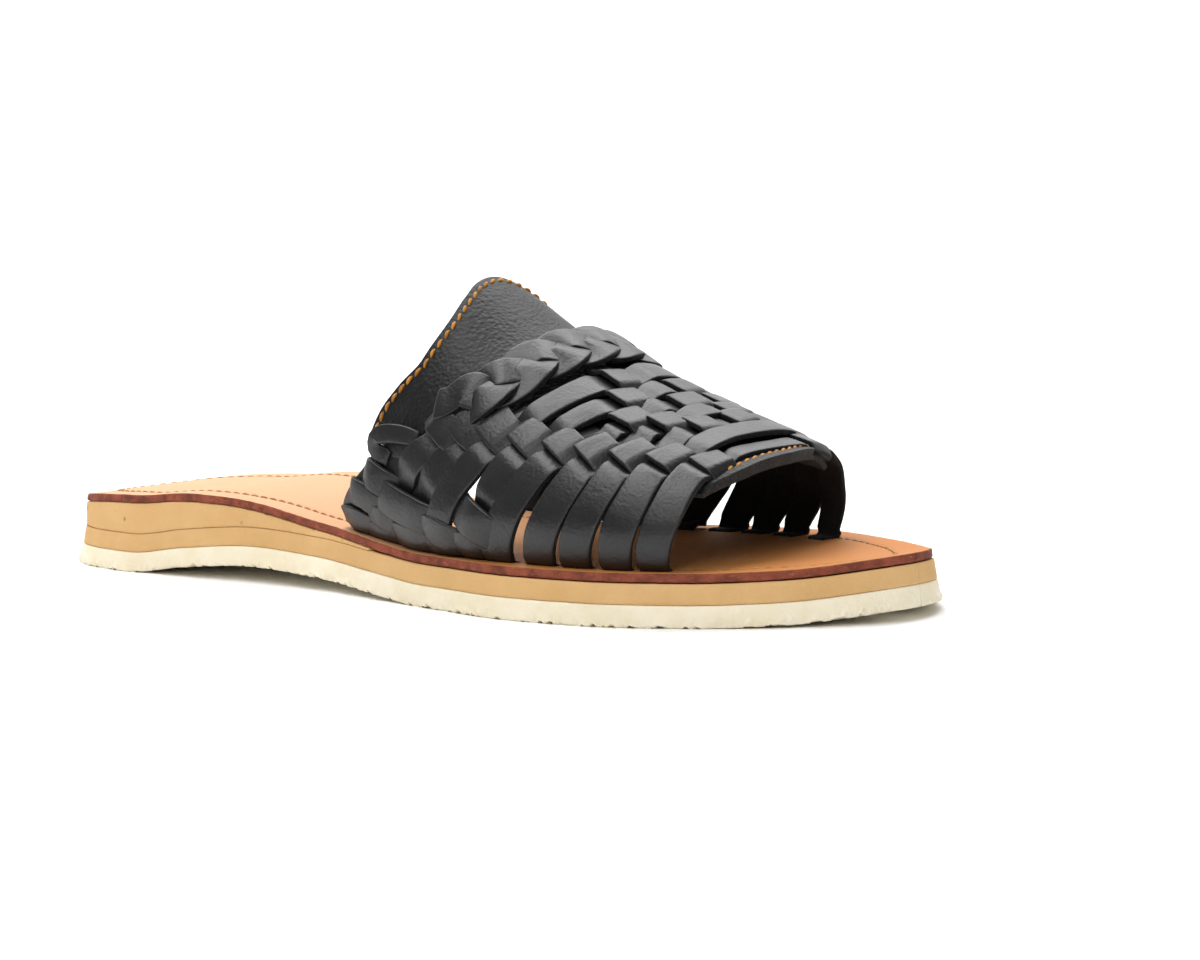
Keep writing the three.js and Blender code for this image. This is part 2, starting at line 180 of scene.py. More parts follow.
# The rear lower corner, a plain plait between the legs and the straps that return from the rear edge.
# Rows are x, side, height over the last, half width.
RETURNS = {
    "corner_lining": [
        (136.5, -.812, 2.0, 2.4), (141, -.815, 2.4, 3.4), (146, -.822, 2.4, 3.4), (151, -.830, 2.0, 3.2),
    ],
    "ear_lining": [
        (151.5, -.752, 1.9, 2.6), (147.5, -.760, 2.3, 2.8), (143.6, -.770, 2.5, 2.8),
        (140.8, -.778, 2.4, 2.2),
    ],
    "ear": [
        (154, -.716, 2.2, 1.8), (150, -.722, 3.8, 2.2), (146, -.732, 4.9, 2.3), (142.6, -.745, 5.4, 2.3),
        (140.1, -.760, 5.4, 2.0), (139.6, -.778, 5.0, 2.0), (141.2, -.794, 4.2, 2.0),
        (144.6, -.800, 3.0, 2.0),
    ],
    "strap_10": [
        (133.6, -.846, -1.0, 2.8), (134.9, -.846, 2.6, 3.1), (137.2, -.847, 4.3, 3.3),
        (140.6, -.852, 5.0, 3.4), (144.4, -.860, 4.3, 3.4), (148.2, -.868, 2.2, 3.3),
    ],
    "return_high": [
        (140.8, -.876, 2.4, 3.6), (144.4, -.887, 4.3, 4.0), (150, -.897, 4.8, 4.1),
        (156, -.905, 4.7, 4.1), (160.4, -.913, 3.9, 4.0), (165, -.922, 2.0, 3.9),
    ],
    "return_middle": [
        (127.8, -.908, -1.0, 3.0), (129.0, -.907, 2.6, 3.3), (131, -.905, 4.2, 3.3),
        (135.2, -.905, 4.8, 3.3), (140.4, -.918, 4.3, 3.3), (145.2, -.938, 2.2, 3.2),
    ],
    "return_low": [
        (134.6, -.950, 2.4, 2.6), (138, -.944, 3.9, 2.8), (142, -.944, 4.4, 2.9),
        (146.4, -.954, 3.6, 2.9), (150, -.966, 2.4, 2.8),
    ],
    "return_lowest": [
        (122.6, -.984, -1.0, 3.0), (123.8, -.981, 2.6, 3.3), (126.2, -.974, 4.1, 3.4),
        (130.4, -.970, 4.6, 3.2), (135.6, -.978, 3.8, 3.2), (139.6, -1.0, 2.4, 3.0),
    ],
    "foot_10": [
        (127, -1.01, 2.6, 3.6), (133, -1.0, 3.7, 3.8), (139, -.995, 4.1, 3.8), (145, -1.0, 3.6, 3.8),
        (150, -1.02, 2.6, 3.8),
    ],
    "foot_9": [
        (143.6, -.985, 2.4, 3.0), (148.4, -.972, 4.0, 3.2), (154.4, -.975, 4.4, 3.3),
        (160, -.986, 3.6, 3.4), (164, -1.01, 2.4, 3.4),
    ],
    "foot_8": [
        (157.6, -.952, 2.2, 3.4), (162.6, -.938, 4.2, 3.7), (168, -.949, 4.6, 3.7),
        (172.4, -.962, 3.8, 3.6), (176.4, -.98, 2.2, 3.4),
    ],
    "foot_7": [
        (158, -1.02, 2.6, 3.4), (163, -1.0, 3.9, 3.6), (169, -1.0, 3.9, 3.6), (174, -1.02, 2.6, 3.4),
    ],
    "foot_6": [
        (169.4, -.99, 2.4, 3.2), (173.6, -.97, 4.0, 3.6), (178.4, -.975, 4.3, 3.8),
        (182.6, -1.0, 3.4, 3.6),
    ],
    "return_front": [
        (171.4, -.838, 1.9, 3.6), (175.8, -.866, 3.8, 4.1), (180, -.890, 4.9, 4.4),
        (184.4, -.915, 4.5, 4.3), (189, -.945, 2.2, 4.0),
    ],
    "edge_lining": [
        (142.2, -.786, 1.6, 2.6), (138.9, -.822, 2.1, 3.2), (135.4, -.866, 2.2, 3.4),
        (131.2, -.914, 2.6, 3.6), (127.0, -.962, 2.7, 3.6), (124.8, -1.0, 2.4, 3.4),
    ],
}
# Middle line of the three-strand plait over the instep: x, side.
PLAIT_LINE = np.array([
    (157.0, -.614), (163, -.566), (168.6, -.518), (172.9, -.452), (175.3, -.370), (176.6, -.270),
    (177.4, -.150), (177.6, 0), (176.6, .15), (175.2, .27), (173.2, .37), (170.2, .45), (165.8, .516),
    (160, .566), (154, .612),
])

# Camera: turn about the vertical, downward tilt and roll in degrees, place in metres, lens in millimetres.
CAMERA_TURN, CAMERA_PLACE, LENS, SENSOR = (41.27, 5.82, -1.59), (0.6287, -0.6684, 0.1192), 105.993, 36.0
# Softboxes: place, target, size in metres, power in watts.
SOFTBOXES = {
    "key_softbox": ((-0.25, -0.45, 1.4), (0, 0, 0), (0.8, 0.8), 10),
    "top_softbox": ((-0.40, 0.65, 1.25), (0.02, 0, 0.03), (1.2, 0.8), 11),
    "front_fill": ((0.55, -1.0, 1.0), (0, 0, 0.03), (0.9, 0.7), 6),
}
# Paper sweep in metres: places away from the camera and heights of the flat floor, the radius of the
# turn, its start, the wall's top and half the width.
FLOOR_RUN, SWEEP_START, SWEEP_RADIUS, WALL_TOP, SWEEP_HALF = (-2.2, 0, 1.0), 1.4, 0.8, 2.8, 3.2


class StageSettings(bpy.types.PropertyGroup):
    """Floor and light."""
    floor: bpy.props.StringProperty(name="Floor", description="Colour of the paper floor, sRGB hex",
                                    default="FFFFFF")
    sky: bpy.props.FloatProperty(name="Sky", description="Strength of the even light around the stage",
                                 default=0.22, min=0)


class SoleSettings(bpy.types.PropertyGroup):
    """Sizes and colours of the sole's layers."""
    crumb: bpy.props.FloatProperty(name="Crumb", description="Depth of the crumbled edge of the crepe",
                                   default=0.0010, unit="LENGTH")
    groove_inset: bpy.props.FloatProperty(name="Groove inset",
                                          description="From the insole's edge to its seam",
                                          default=0.0085, unit="LENGTH")
    seam_pitch: bpy.props.FloatProperty(name="Seam pitch", description="Length of one stitch and its gap",
                                        default=0.0034, unit="LENGTH")
    crepe: bpy.props.StringProperty(name="Crepe", description="Outsole colour, sRGB hex",
                                    default="F8EFD6")
    foam: bpy.props.StringProperty(name="Foam", description="Midsole and wedge colour, sRGB hex",
                                   default="DDB47C")
    tan: bpy.props.StringProperty(name="Tan leather", description="Insole colour at the heel, sRGB hex",
                                  default="DFB08A")
    toned: bpy.props.StringProperty(name="Toned leather", description="Insole colour at the forefoot",
                                    default="B87A45")
    rim: bpy.props.StringProperty(name="Rim", description="Stained edge of the insole, sRGB hex",
                                  default="93503A")
    seam: bpy.props.StringProperty(name="Seam", description="Brown thread of the insole, sRGB hex",
                                   default="C58A45")


class UpperSettings(bpy.types.PropertyGroup):
    """Sizes and colours of the panel and the woven straps."""
    thickness: bpy.props.FloatProperty(name="Strap thickness", description="Thickness of a strap",
                                       default=0.0015, unit="LENGTH")
    ride: bpy.props.FloatProperty(name="Strap height", description="Middle of the weave above the last",
                                  default=0.0034, unit="LENGTH")
    swing: bpy.props.FloatProperty(name="Swing",
                                   description="How far a strap rises and dips at a crossing",
                                   default=0.0010, unit="LENGTH")
    stitch_pitch: bpy.props.FloatProperty(name="Stitch pitch",
                                          description="Length of one stitch and its gap",
                                          default=0.0031, unit="LENGTH")
    black: bpy.props.StringProperty(name="Black leather", description="Strap and panel colour, sRGB hex",
                                    default="111112")
    strap_flesh: bpy.props.StringProperty(name="Strap flesh side",
                                          description="Raw side of a strap, sRGB hex",
                                          default="0E0D0D")
    panel_flesh: bpy.props.StringProperty(name="Panel flesh side",
                                          description="Raw side of the panel, sRGB hex",
                                          default="2B2A29")
    thread: bpy.props.StringProperty(name="Thread", description="Golden thread, sRGB hex",
                                     default="D9952F")


# ------------------------------------------------------------------ shape


def through(table, column, place):
    """Monotone cubic through a table: between two rows the Hermite blend of their values, with each
    row's slope the harmonic mean of its two chords."""
    at, value = table[:, 0].astype(float), table[:, column].astype(float)
    chord = np.diff(value) / np.diff(at)
    inner = chord[:-1] * chord[1:]
    with np.errstate(divide="ignore", invalid="ignore"):
        mean = np.where(inner > 0, 2 * inner / (chord[:-1] + chord[1:]), 0.0)
    slope = np.concatenate([chord[:1], mean, chord[-1:]])
    p = np.clip(np.asarray(place, float), at[0], at[-1])
    i = np.clip(np.searchsorted(at, p, side="right") - 1, 0, len(at) - 2)
    span = at[i + 1] - at[i]
    t = (p - at[i]) / span
    return (value[i] * (1 + 2 * t) * (1 - t) ** 2 + slope[i] * span * t * (1 - t) ** 2
            + value[i + 1] * t * t * (3 - 2 * t) - slope[i + 1] * span * t * t * (1 - t))


def half_width(x, side):
    """Half width of the insole at x: the table's widths, interpolated over the angle whose cosine is
    one less two x over the length, so that heel and toe are round."""
    def angle(s):
        return np.arccos(np.clip(1 - 2 * np.asarray(s, float) / INSOLE_LENGTH, -1, 1))
    table = np.column_stack([angle(OUTLINE[:, 0]), OUTLINE[:, 1:]])
    return through(table, 1 if side < 0 else 2, angle(x))


def lift(x):
    """Underside of the outsole."""
    return through(LIFT, 1, x)


def outsole_top(x):
    """Underside of the outsole and its thickness."""
    return lift(x) + OUTSOLE_THICK


def midsole_top(x):
    """Top of the outsole, a gap and the midsole's thickness."""
    return outsole_top(x) + GAP + MIDSOLE_THICK


def insole_bottom(x):
    """Top of the midsole, a gap and the heel's rise."""
    return midsole_top(x) + GAP + through(HEEL_RISE, 1, x)


def insole_top(x):
    """Underside of the insole and its thickness."""
    return insole_bottom(x) + INSOLE_THICK


def last_surface(x, side):
    """Point of the last: a superellipse section over the insole, its width following the sine and its
    height the cosine of the side's quarter turn, each to the power two over the fullness."""
    x, side = np.broadcast_arrays(np.asarray(x, float), np.asarray(side, float))
    power = 2 / through(LAST, 4, x)
    sine, cosine = np.sin(side * np.pi / 2), np.abs(np.cos(side * np.pi / 2))
    base = insole_top(x) + GAP
    width = np.where(sine < 0, through(LAST, 2, x), through(LAST, 3, x))
    return np.stack([x, np.sign(sine) * width * np.abs(sine) ** power,
                     base + (through(LAST, 1, x) - base) * cosine ** power], -1)


def last_frame(x, side):
    """The two derivatives of the last at a point, by central differences, and its outward unit normal,
    which turns level at the sole."""
    inner = np.clip(side, -0.985, 0.985)
    step = 0.001
    along = (last_surface(x + step, inner) - last_surface(x - step, inner)) / (2 * step)
    across = (last_surface(x, inner + step) - last_surface(x, inner - step)) / (2 * step)
    normal = np.cross(along, across)
    low = np.abs(side) > 0.97
    normal[..., 2] = np.where(low, 0.0, normal[..., 2])
    normal /= np.linalg.norm(normal, axis=-1, keepdims=True)
    return along, across, normal


def smooth(t):
    """Smoothstep of a value clamped to 0 and 1."""
    t = np.clip(t, 0, 1)
    return t * t * (3 - 2 * t)


def wall(x, side, distance):
    """A point outside the last at a distance along its normal. It tucks inward near the insole with the
    square of what is left of the tuck's height. Past the sole line the strap's middle runs inward over
    the insole and then into it, and its thickness turns from level to upright with a smoothstep."""
    x, side, distance = np.broadcast_arrays(np.asarray(x, float), np.asarray(side, float),
                                            np.asarray(distance, float))
    inner = np.clip(side, -1, 1)
    point = last_surface(x, inner)
    height = point[..., 2] - insole_top(x) - GAP
    tuck = FOOT_TUCK * np.maximum(0, 1 - height / TUCK_HEIGHT) ** 2
    normal = last_frame(x, inner)[2]
    past = np.maximum(0, np.abs(side) - 1) * FOOT_RUN
    flat = smooth(past / FOOT_TURN)
    turn = flat[..., None] * np.pi / 2
    point = point + normal * np.where(past > 0, RIDE, distance)[..., None]
    level = normal * np.cos(turn) - np.array([0, 0, 1.0]) * np.sin(turn)
    point = point + level * np.where(past > 0, distance - RIDE, 0)[..., None]
    point[..., 1] -= np.sign(side) * (tuck + past)
    free = np.where(side < 0, *FOOT_FREE)
    point[..., 2] += FOOT_RISE * flat - FOOT_SINK * smooth((past - free) / SINK_RUN)
    return point


def distance_along(line):
    """Distance travelled along a line of points, from its first one."""
    return np.concatenate([[0], np.cumsum(np.linalg.norm(np.diff(line, axis=0), axis=1))])


def grain(points, size, seed):
    """Smooth random value from -1 to 1: random numbers on a cubic lattice of that size, blended
    between the lattice's corners with a smoothstep along each axis."""
    table = np.random.default_rng(seed).uniform(-1, 1, (32, 32, 32))
    place = np.asarray(points, float) / size
    cell = np.floor(place).astype(int)
    f = place - cell
    f = f * f * (3 - 2 * f)
    total = 0
    for a in (0, 1):
        for b in (0, 1):
            for c in (0, 1):
                weight = np.prod(np.abs(1 - np.array([a, b, c]) - f), axis=-1)
                total = total + weight * table[(cell[..., 0] + a) % 32, (cell[..., 1] + b) % 32,
                                               (cell[..., 2] + c) % 32]
    return total


def grid_faces(rows, columns, wrap=True):
    """Quads between neighbouring rows and columns of a grid, the last column joined to the first if
    it wraps."""
    r, c = np.meshgrid(np.arange(rows - 1), np.arange(columns if wrap else columns - 1), indexing="ij")
    n = (c + 1) % columns
    return np.stack([r * columns + c, r * columns + n, (r + 1) * columns + n, (r + 1) * columns + c],
                    -1).reshape(-1, 4)


def loft(rings):
    """A closed surface through rings of points: quads between rings, and each end filled by the quads
    between the ring's first and second half."""
    rows, columns = rings.shape[:2]
    half = columns // 2
    k = np.arange(half - 1)
    end = np.stack([k, columns - 1 - k, columns - 2 - k, k + 1], -1)
    faces = np.concatenate([grid_faces(rows, columns), end, (end + (rows - 1) * columns)[:, ::-1]])
    return outward(rings.reshape(-1, 3), faces)


def outward(points, faces):
    """The same faces, turned round if the solid they close has a negative volume: a sixth of the sum
    of the triple products of their triangles."""
    a, b, c, d = (points[faces[:, i]] for i in range(4))
    volume = np.einsum("ij,ij->", a, np.cross(b, c)) + np.einsum("ij,ij->", a, np.cross(c, d))
    return points, faces if volume > 0 else faces[:, ::-1]


def joined(parts):
    """Several solids as one list of points and faces."""
    points, faces, start = [], [], 0
    for p, f in parts:
        points.append(p)
        faces.append(f + start)
        start += len(p)
    return np.concatenate(points), np.concatenate(faces)


def add_piece(name, points, faces, materials, slot, replaced=(), finish=None, marks=None):
    """A mesh object from points in shoe millimetres, smooth shaded, riding on the shoe's body. finish
    gives each face its material's number, and marks gives each point a named value."""
    mesh = bpy.data.meshes.new(name)
    mesh.from_pydata(((points + SHIFT) / 1000).tolist(), [], faces.tolist())
    for material in materials:
        mesh.materials.append(material)
    if finish is not None:
        mesh.polygons.foreach_set("material_index", np.asarray(finish, np.int32))
    for key, values in (marks or {}).items():
        attribute = mesh.attributes.new(key, "FLOAT", "POINT")
        attribute.data.foreach_set("value", np.asarray(values, np.float32))
    mesh.shade_smooth()
    mesh.validate()
    piece = bpy.data.objects.new(name, mesh)
    bpy.context.scene.collection.objects.link(piece)
    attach(piece, "root")
    if replaced:
        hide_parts(*replaced)
    return piece


# ------------------------------------------------------------------ finishes


def linear(code):
    """An sRGB hex colour as linear RGBA: each channel by the sRGB curve."""
    channels = [int(code[i:i + 2], 16) / 255 for i in (0, 2, 4)]
    return (*[c / 12.92 if c <= 0.04045 else ((c + 0.055) / 1.055) ** 2.4 for c in channels], 1.0)


def add_node(material, kind, settings=None, links=None):
    """A node in the material: settings go to its properties or, by socket name or number, to its inputs,
    and links name the input and the output socket joined to it."""
    tree = material.node_tree
    node = tree.nodes.new(kind)
    for key, value in (settings or {}).items():
        if isinstance(key, int) or key in node.inputs:
            node.inputs[key].default_value = value
        else:
            setattr(node, key, value)
    for key, source in (links or {}).items():
        tree.links.new(source, node.inputs[key])
    return node


def tinted(colour, red, green, blue):
    """A linear colour with each channel scaled."""
    return tuple(np.array(colour) * [red, green, blue, 1])


def new_material(name):
    """An empty node material, its output node and the object coordinates that its patterns read. The
    scale of a texture is in cells or waves a metre: 1000 is one a millimetre."""
    material = bpy.data.materials.new(name)
    material.use_nodes = True
    material.node_tree.nodes.clear()
    output = add_node(material, "ShaderNodeOutputMaterial")
    return material, output, add_node(material, "ShaderNodeTexCoord").outputs["Object"]


def ramp(material, source, stops):
    """A colour ramp over a value, with its stops as place and colour pairs."""
    node = add_node(material, "ShaderNodeValToRGB", links={"Fac": source})
    band = node.color_ramp
    while len(band.elements) < len(stops):
        band.elements.new(0.5)
    for element, (place, colour) in zip(band.elements, stops):
        element.position, element.color = place, colour
    return node.outputs["Color"]


def finish_shader(material, output, colour, settings, bumps=(), rough=None):
    """A principled surface with its constants on its own sockets, a colour input, an optional
    roughness input, and a chain of bumps given as height, distance in metres and strength."""
    normal = None
    for height, distance, strength in bumps:
        links = {"Height": height}
        if normal is not None:
            links["Normal"] = normal
        normal = add_node(material, "ShaderNodeBump", {"Distance": distance, "Strength": strength},
                          links).outputs["Normal"]
    links = {"Base Color": colour}
    if normal is not None:
        links["Normal"] = normal
    if rough is not None:
        links["Roughness"] = rough
    shader = add_node(material, "ShaderNodeBsdfPrincipled", settings, links)
    material.node_tree.links.new(shader.outputs["BSDF"], output.inputs["Surface"])
    return material


def crepe_rubber(code):
    """Natural crepe rubber, sliced and buffed: cream, matt, with fine crumbs, small pits and a darker,
    yellower mottle.
    """
    m, out, where = new_material("crepe_rubber_buffed")
    cloud = add_node(m, "ShaderNodeTexNoise", {"Scale": 90.0, "Detail": 4.0}, {"Vector": where})
    crumb = add_node(m, "ShaderNodeTexNoise", {"Scale": 900.0, "Detail": 3.0, "Roughness": 0.6},
                     {"Vector": where})
    pit = add_node(m, "ShaderNodeTexVoronoi", {"Scale": 420.0}, {"Vector": where})
    base = linear(code)
    colour = ramp(m, cloud.outputs["Fac"], [(0.32, tinted(base, 0.94, 0.91, 0.84)), (0.62, base)])
    return finish_shader(m, out, colour, {"Roughness": 0.82, "IOR": 1.5, "Specular IOR Level": 0.3},
                         [(crumb.outputs["Fac"], 0.0005, 0.55), (pit.outputs["Distance"], 0.0006, 0.25)])


def cork_foam(code):
    """Tan closed-cell foam, cut and sanded: matt, fine pores and a few dark specks."""
    m, out, where = new_material("tan_foam_sanded")
    cloud = add_node(m, "ShaderNodeTexNoise", {"Scale": 60.0, "Detail": 5.0}, {"Vector": where})
    pore = add_node(m, "ShaderNodeTexNoise", {"Scale": 1300.0, "Detail": 2.0}, {"Vector": where})
    speck = add_node(m, "ShaderNodeTexVoronoi", {"Scale": 75.0, "Randomness": 1.0}, {"Vector": where})
    base = linear(code)
    mottled = ramp(m, cloud.outputs["Fac"], [(0.3, tinted(base, 0.90, 0.86, 0.80)), (0.65, base)])
    dotted = ramp(m, speck.outputs["Distance"], [(0.035, (0.10, 0.06, 0.03, 1)), (0.07, (1, 1, 1, 1))])
    mixed = add_node(m, "ShaderNodeMixRGB", {"blend_type": "MULTIPLY", "Fac": 0.55},
                     {"Color1": mottled, "Color2": dotted}).outputs["Color"]
    return finish_shader(m, out, mixed, {"Roughness": 0.86, "IOR": 1.5, "Specular IOR Level": 0.25},
                         [(pore.outputs["Fac"], 0.0004, 0.5), (cloud.outputs["Fac"], 0.0010, 0.12)])


def tanned_leather(heel, toe):
    """Vegetable-tanned leather, pressed smooth: pinkish tan at the heel and browner towards the toe,
    with cloudy toning, fine grain and a low satin sheen."""
    m, out, where = new_material("veg_tan_leather_pressed")
    along = add_node(m, "ShaderNodeSeparateXYZ", links={"Vector": where}).outputs["X"]
    place = add_node(m, "ShaderNodeMapRange", {"From Min": -0.14, "From Max": 0.14}, {"Value": along})
    cloud = add_node(m, "ShaderNodeTexNoise", {"Scale": 28.0, "Detail": 6.0, "Roughness": 0.62},
                     {"Vector": where})
    shade = add_node(m, "ShaderNodeMath", {"operation": "MULTIPLY_ADD", 1: 0.22},
                     {0: cloud.outputs["Fac"], 2: place.outputs["Result"]}).outputs["Value"]
    a, b = linear(heel), linear(toe)
    between = tuple(0.5 * np.array(a) + 0.5 * np.array(b))
    colour = ramp(m, shade, [(0.0, a), (0.42, tinted(a, 0.96, 0.92, 0.88)), (0.62, between), (0.78, b),
                             (0.98, tinted(b, 1.15, 1.12, 1.05))])
    fine = add_node(m, "ShaderNodeTexNoise", {"Scale": 900.0, "Detail": 4.0}, {"Vector": where})
    pores = add_node(m, "ShaderNodeTexVoronoi", {"Scale": 1100.0}, {"Vector": where})
    rough = add_node(m, "ShaderNodeMapRange", {"To Min": 0.58, "To Max": 0.74},
                     {"Value": cloud.outputs["Fac"]})
    return finish_shader(m, out, colour, {"IOR": 1.4, "Specular IOR Level": 0.15},
                         [(fine.outputs["Fac"], 0.0003, 0.45), (pores.outputs["Distance"], 0.0002, 0.30),
                          (cloud.outputs["Fac"], 0.0012, 0.25)], rough.outputs["Result"])


def stained_edge(code):
    """Cut edge of thick leather, stained mahogany and left rough: fibrous, with pale torn fibres."""
    m, out, where = new_material("leather_edge_stained")
    layered = add_node(m, "ShaderNodeMapping", {"Scale": (0.35, 0.35, 1.0)},
                       {"Vector": where}).outputs["Vector"]
    fibre = add_node(m, "ShaderNodeTexNoise", {"Scale": 1500.0, "Detail": 4.0, "Roughness": 0.7},
                     {"Vector": layered})
    blot = add_node(m, "ShaderNodeTexNoise", {"Scale": 240.0, "Detail": 4.0}, {"Vector": where})
    base = linear(code)
    dark = ramp(m, blot.outputs["Fac"],
                [(0.35, tinted(base, 0.55, 0.5, 0.5)), (0.62, tinted(base, 1.1, 1, 1))])
    torn = ramp(m, fibre.outputs["Fac"], [(0.58, (0, 0, 0, 1)), (0.74, (1, 1, 1, 1))])
    colour = add_node(m, "ShaderNodeMixRGB", {"Color2": linear("B4694A")}, {"Fac": torn, "Color1": dark})
    return finish_shader(m, out, colour.outputs["Color"],
                         {"Roughness": 0.8, "IOR": 1.5, "Specular IOR Level": 0.3},
                         [(fibre.outputs["Fac"], 0.0007, 0.8), (blot.outputs["Fac"], 0.0008, 0.5)])


def waxed_leather(code):
    """Black strap leather, waxed and polished: satin, with a fine grain, soft draw marks and an edge
    darkened to near black, partly the dark cut edge and partly painted shade of the slits where a strap
    dives under a crossing. The point value rim is 0 on a strap's middle and 1 on its edge."""
    m, out, where = new_material("black_strap_leather_waxed")
    rim = add_node(m, "ShaderNodeAttribute", {"attribute_name": "rim"}).outputs["Fac"]
    cloud = add_node(m, "ShaderNodeTexNoise", {"Scale": 110.0, "Detail": 5.0, "Roughness": 0.6},
                     {"Vector": where})
    grainy = add_node(m, "ShaderNodeTexVoronoi", {"Scale": 1150.0}, {"Vector": where})
    draw = add_node(m, "ShaderNodeTexNoise", {"Scale": 420.0, "Detail": 3.0, "Distortion": 0.8},
                    {"Vector": where})
    base = linear(code)
    tone = ramp(m, cloud.outputs["Fac"], [(0.35, base), (0.7, tinted(base, 1.5, 1.5, 1.55))])
    # Near black on the strap's rounded edge: the dark cut edge, plus painted shade that darkens the slits
    # beside the crossings.
    dark_edge_and_shade = ramp(m, rim, [(0.90, (0, 0, 0, 1)), (1.0, (1, 1, 1, 1))])
    colour = add_node(m, "ShaderNodeMixRGB", {"Color2": linear("0A0A0A")}, {"Fac": dark_edge_and_shade, "Color1": tone})
    rough = add_node(m, "ShaderNodeMapRange", {"To Min": 0.33, "To Max": 0.48},
                     {"Value": cloud.outputs["Fac"]})
    return finish_shader(m, out, colour.outputs["Color"], {"IOR": 1.5, "Specular IOR Level": 0.55},
                         [(grainy.outputs["Distance"], 0.00015, 0.30),
                          (draw.outputs["Fac"], 0.00030, 0.30),
                          (cloud.outputs["Fac"], 0.0009, 0.22)], rough.outputs["Result"])


def pebbled_leather(code):
    """Black vamp leather, softly pebbled: rounded cells about 1 mm across and a matt sheen."""
    m, out, where = new_material("black_vamp_leather_pebbled")
    pebble = add_node(m, "ShaderNodeTexVoronoi",
                      {"Scale": 900.0, "feature": "SMOOTH_F1", "Smoothness": 0.6},
                      {"Vector": where})
    cloud = add_node(m, "ShaderNodeTexNoise", {"Scale": 70.0, "Detail": 5.0}, {"Vector": where})
    crease = add_node(m, "ShaderNodeTexNoise", {"Scale": 260.0, "Detail": 4.0, "Distortion": 1.2},
                      {"Vector": where})
    base = linear(code)
    tone = ramp(m, cloud.outputs["Fac"],
                [(0.3, tinted(base, 1.1, 1.1, 1.1)), (0.7, tinted(base, 1.8, 1.8, 1.85))])
    return finish_shader(m, out, tone, {"Roughness": 0.50, "IOR": 1.5, "Specular IOR Level": 0.28},
                         [(pebble.outputs["Distance"], 0.0004, 0.5),
                          (crease.outputs["Fac"], 0.0006, 0.3)])


def raw_suede(code, name):
    """Flesh side and cut edges of dyed leather: matt, fibrous, charcoal with lighter fuzz."""
    m, out, where = new_material(name)
    fuzz = add_node(m, "ShaderNodeTexNoise", {"Scale": 1400.0, "Detail": 5.0, "Roughness": 0.75},
                    {"Vector": where})
    blot = add_node(m, "ShaderNodeTexNoise", {"Scale": 180.0, "Detail": 4.0}, {"Vector": where})
    base = linear(code)
    tone = ramp(m, fuzz.outputs["Fac"],
                [(0.40, tinted(base, 0.55, 0.55, 0.55)), (0.72, tinted(base, 1.9, 1.9, 1.9))])
    return finish_shader(m, out, tone, {"Roughness": 0.92, "IOR": 1.5, "Specular IOR Level": 0.2,
                                        "Sheen Weight": 0.08},
                         [(fuzz.outputs["Fac"], 0.0006, 0.7), (blot.outputs["Fac"], 0.0008, 0.4)])


def waxed_thread(code, name):
    """Waxed linen thread: twisted plies as a fine slanting ripple, with a soft gloss."""
    m, out, where = new_material(name)
    ply = add_node(m, "ShaderNodeTexWave",
                   {"Scale": 900.0, "Distortion": 1.0, "bands_direction": "DIAGONAL"},
                   {"Vector": where})
    cloud = add_node(m, "ShaderNodeTexNoise", {"Scale": 500.0, "Detail": 2.0}, {"Vector": where})
    base = linear(code)
    tone = ramp(m, cloud.outputs["Fac"], [(0.35, tinted(base, 0.6, 0.5, 0.4)), (0.65, base)])
    return finish_shader(m, out, tone, {"Roughness": 0.5, "IOR": 1.5, "Specular IOR Level": 0.4},
                         [(ply.outputs["Fac"], 0.0002, 0.6)])


# ------------------------------------------------------------------ sole


def sole_layer(bottom, top, bottom_flare, top_flare, end=INSOLE_LENGTH, stations=760, rows=9,
               soften=0.35):
    """A slab of the sole as rings from heel to toe. Each ring goes out from the middle of the underside
    to the edge, up the side and back in: its height runs from the bottom function to the top one, and
    its half width is the insole's, grown by a flare that runs from the bottom's to the top's, less a
    quarter circle of radius soften at both corners. Stations are even steps of the outline's angle.
    Returns the rings, and for each point of a ring its share across and up."""
    last_angle = math.acos(max(-1.0, 1 - 2 * end / INSOLE_LENGTH))
    angle = np.linspace(0, last_angle, stations)
    x = INSOLE_LENGTH * (1 - np.cos(angle)) / 2
    caps = np.array([0.0, 0.3, 0.55, 0.72, 0.84, 0.92, 0.97])
    rise = (1 - np.cos(np.linspace(0, np.pi, rows))) / 2
    across = np.concatenate([caps, np.ones(rows), caps[::-1]])
    up = np.concatenate([np.zeros(len(caps)), rise, np.ones(len(caps))])
    side = np.concatenate([-np.ones(len(across)), np.ones(len(across))])
    across, up = np.concatenate([across, across[::-1]]), np.concatenate([up, up[::-1]])
    lateral, medial = half_width(x, -1), half_width(x, 1)
    width = np.maximum(np.where(side[None, :] < 0, lateral[:, None], medial[:, None]), 0.3)
    low, high = bottom(x)[:, None], top(x)[:, None]
    thick = np.maximum(high - low, 1e-6)
    radius = np.minimum(soften, thick / 2)
    z = low + (high - low) * up[None, :]
    edge = np.minimum(up[None, :], 1 - up[None, :]) * thick
    rounding = radius - np.sqrt(np.maximum(radius ** 2 - (radius - edge) ** 2, 0))
    inset = np.where(edge < radius, rounding, 0)
    flare = (bottom_flare + (top_flare - bottom_flare) * up[None, :]) - inset
    share = np.minimum(1, width / 12)
    y = side[None, :] * (width + flare * share) * across[None, :]
    stretch = flare * (-1 + (TOE_FLARE_SHARE + 1) * x[:, None] / INSOLE_LENGTH)
    rings = np.stack([x[:, None] + stretch * np.where(across > 0.8, 1, across)[None, :], y, z], -1)
    return rings, side * across, up


def seam_groove(rings, inset, depth, width):
    """How far a bell-shaped groove lowers each point of the insole's top: depth times the bell of its
    distance from the line that lies at the inset inside the outline, over the width."""
    away = edge_distance(rings[..., 0], rings[..., 1])
    return depth * np.exp(-((away - inset) / width) ** 2)


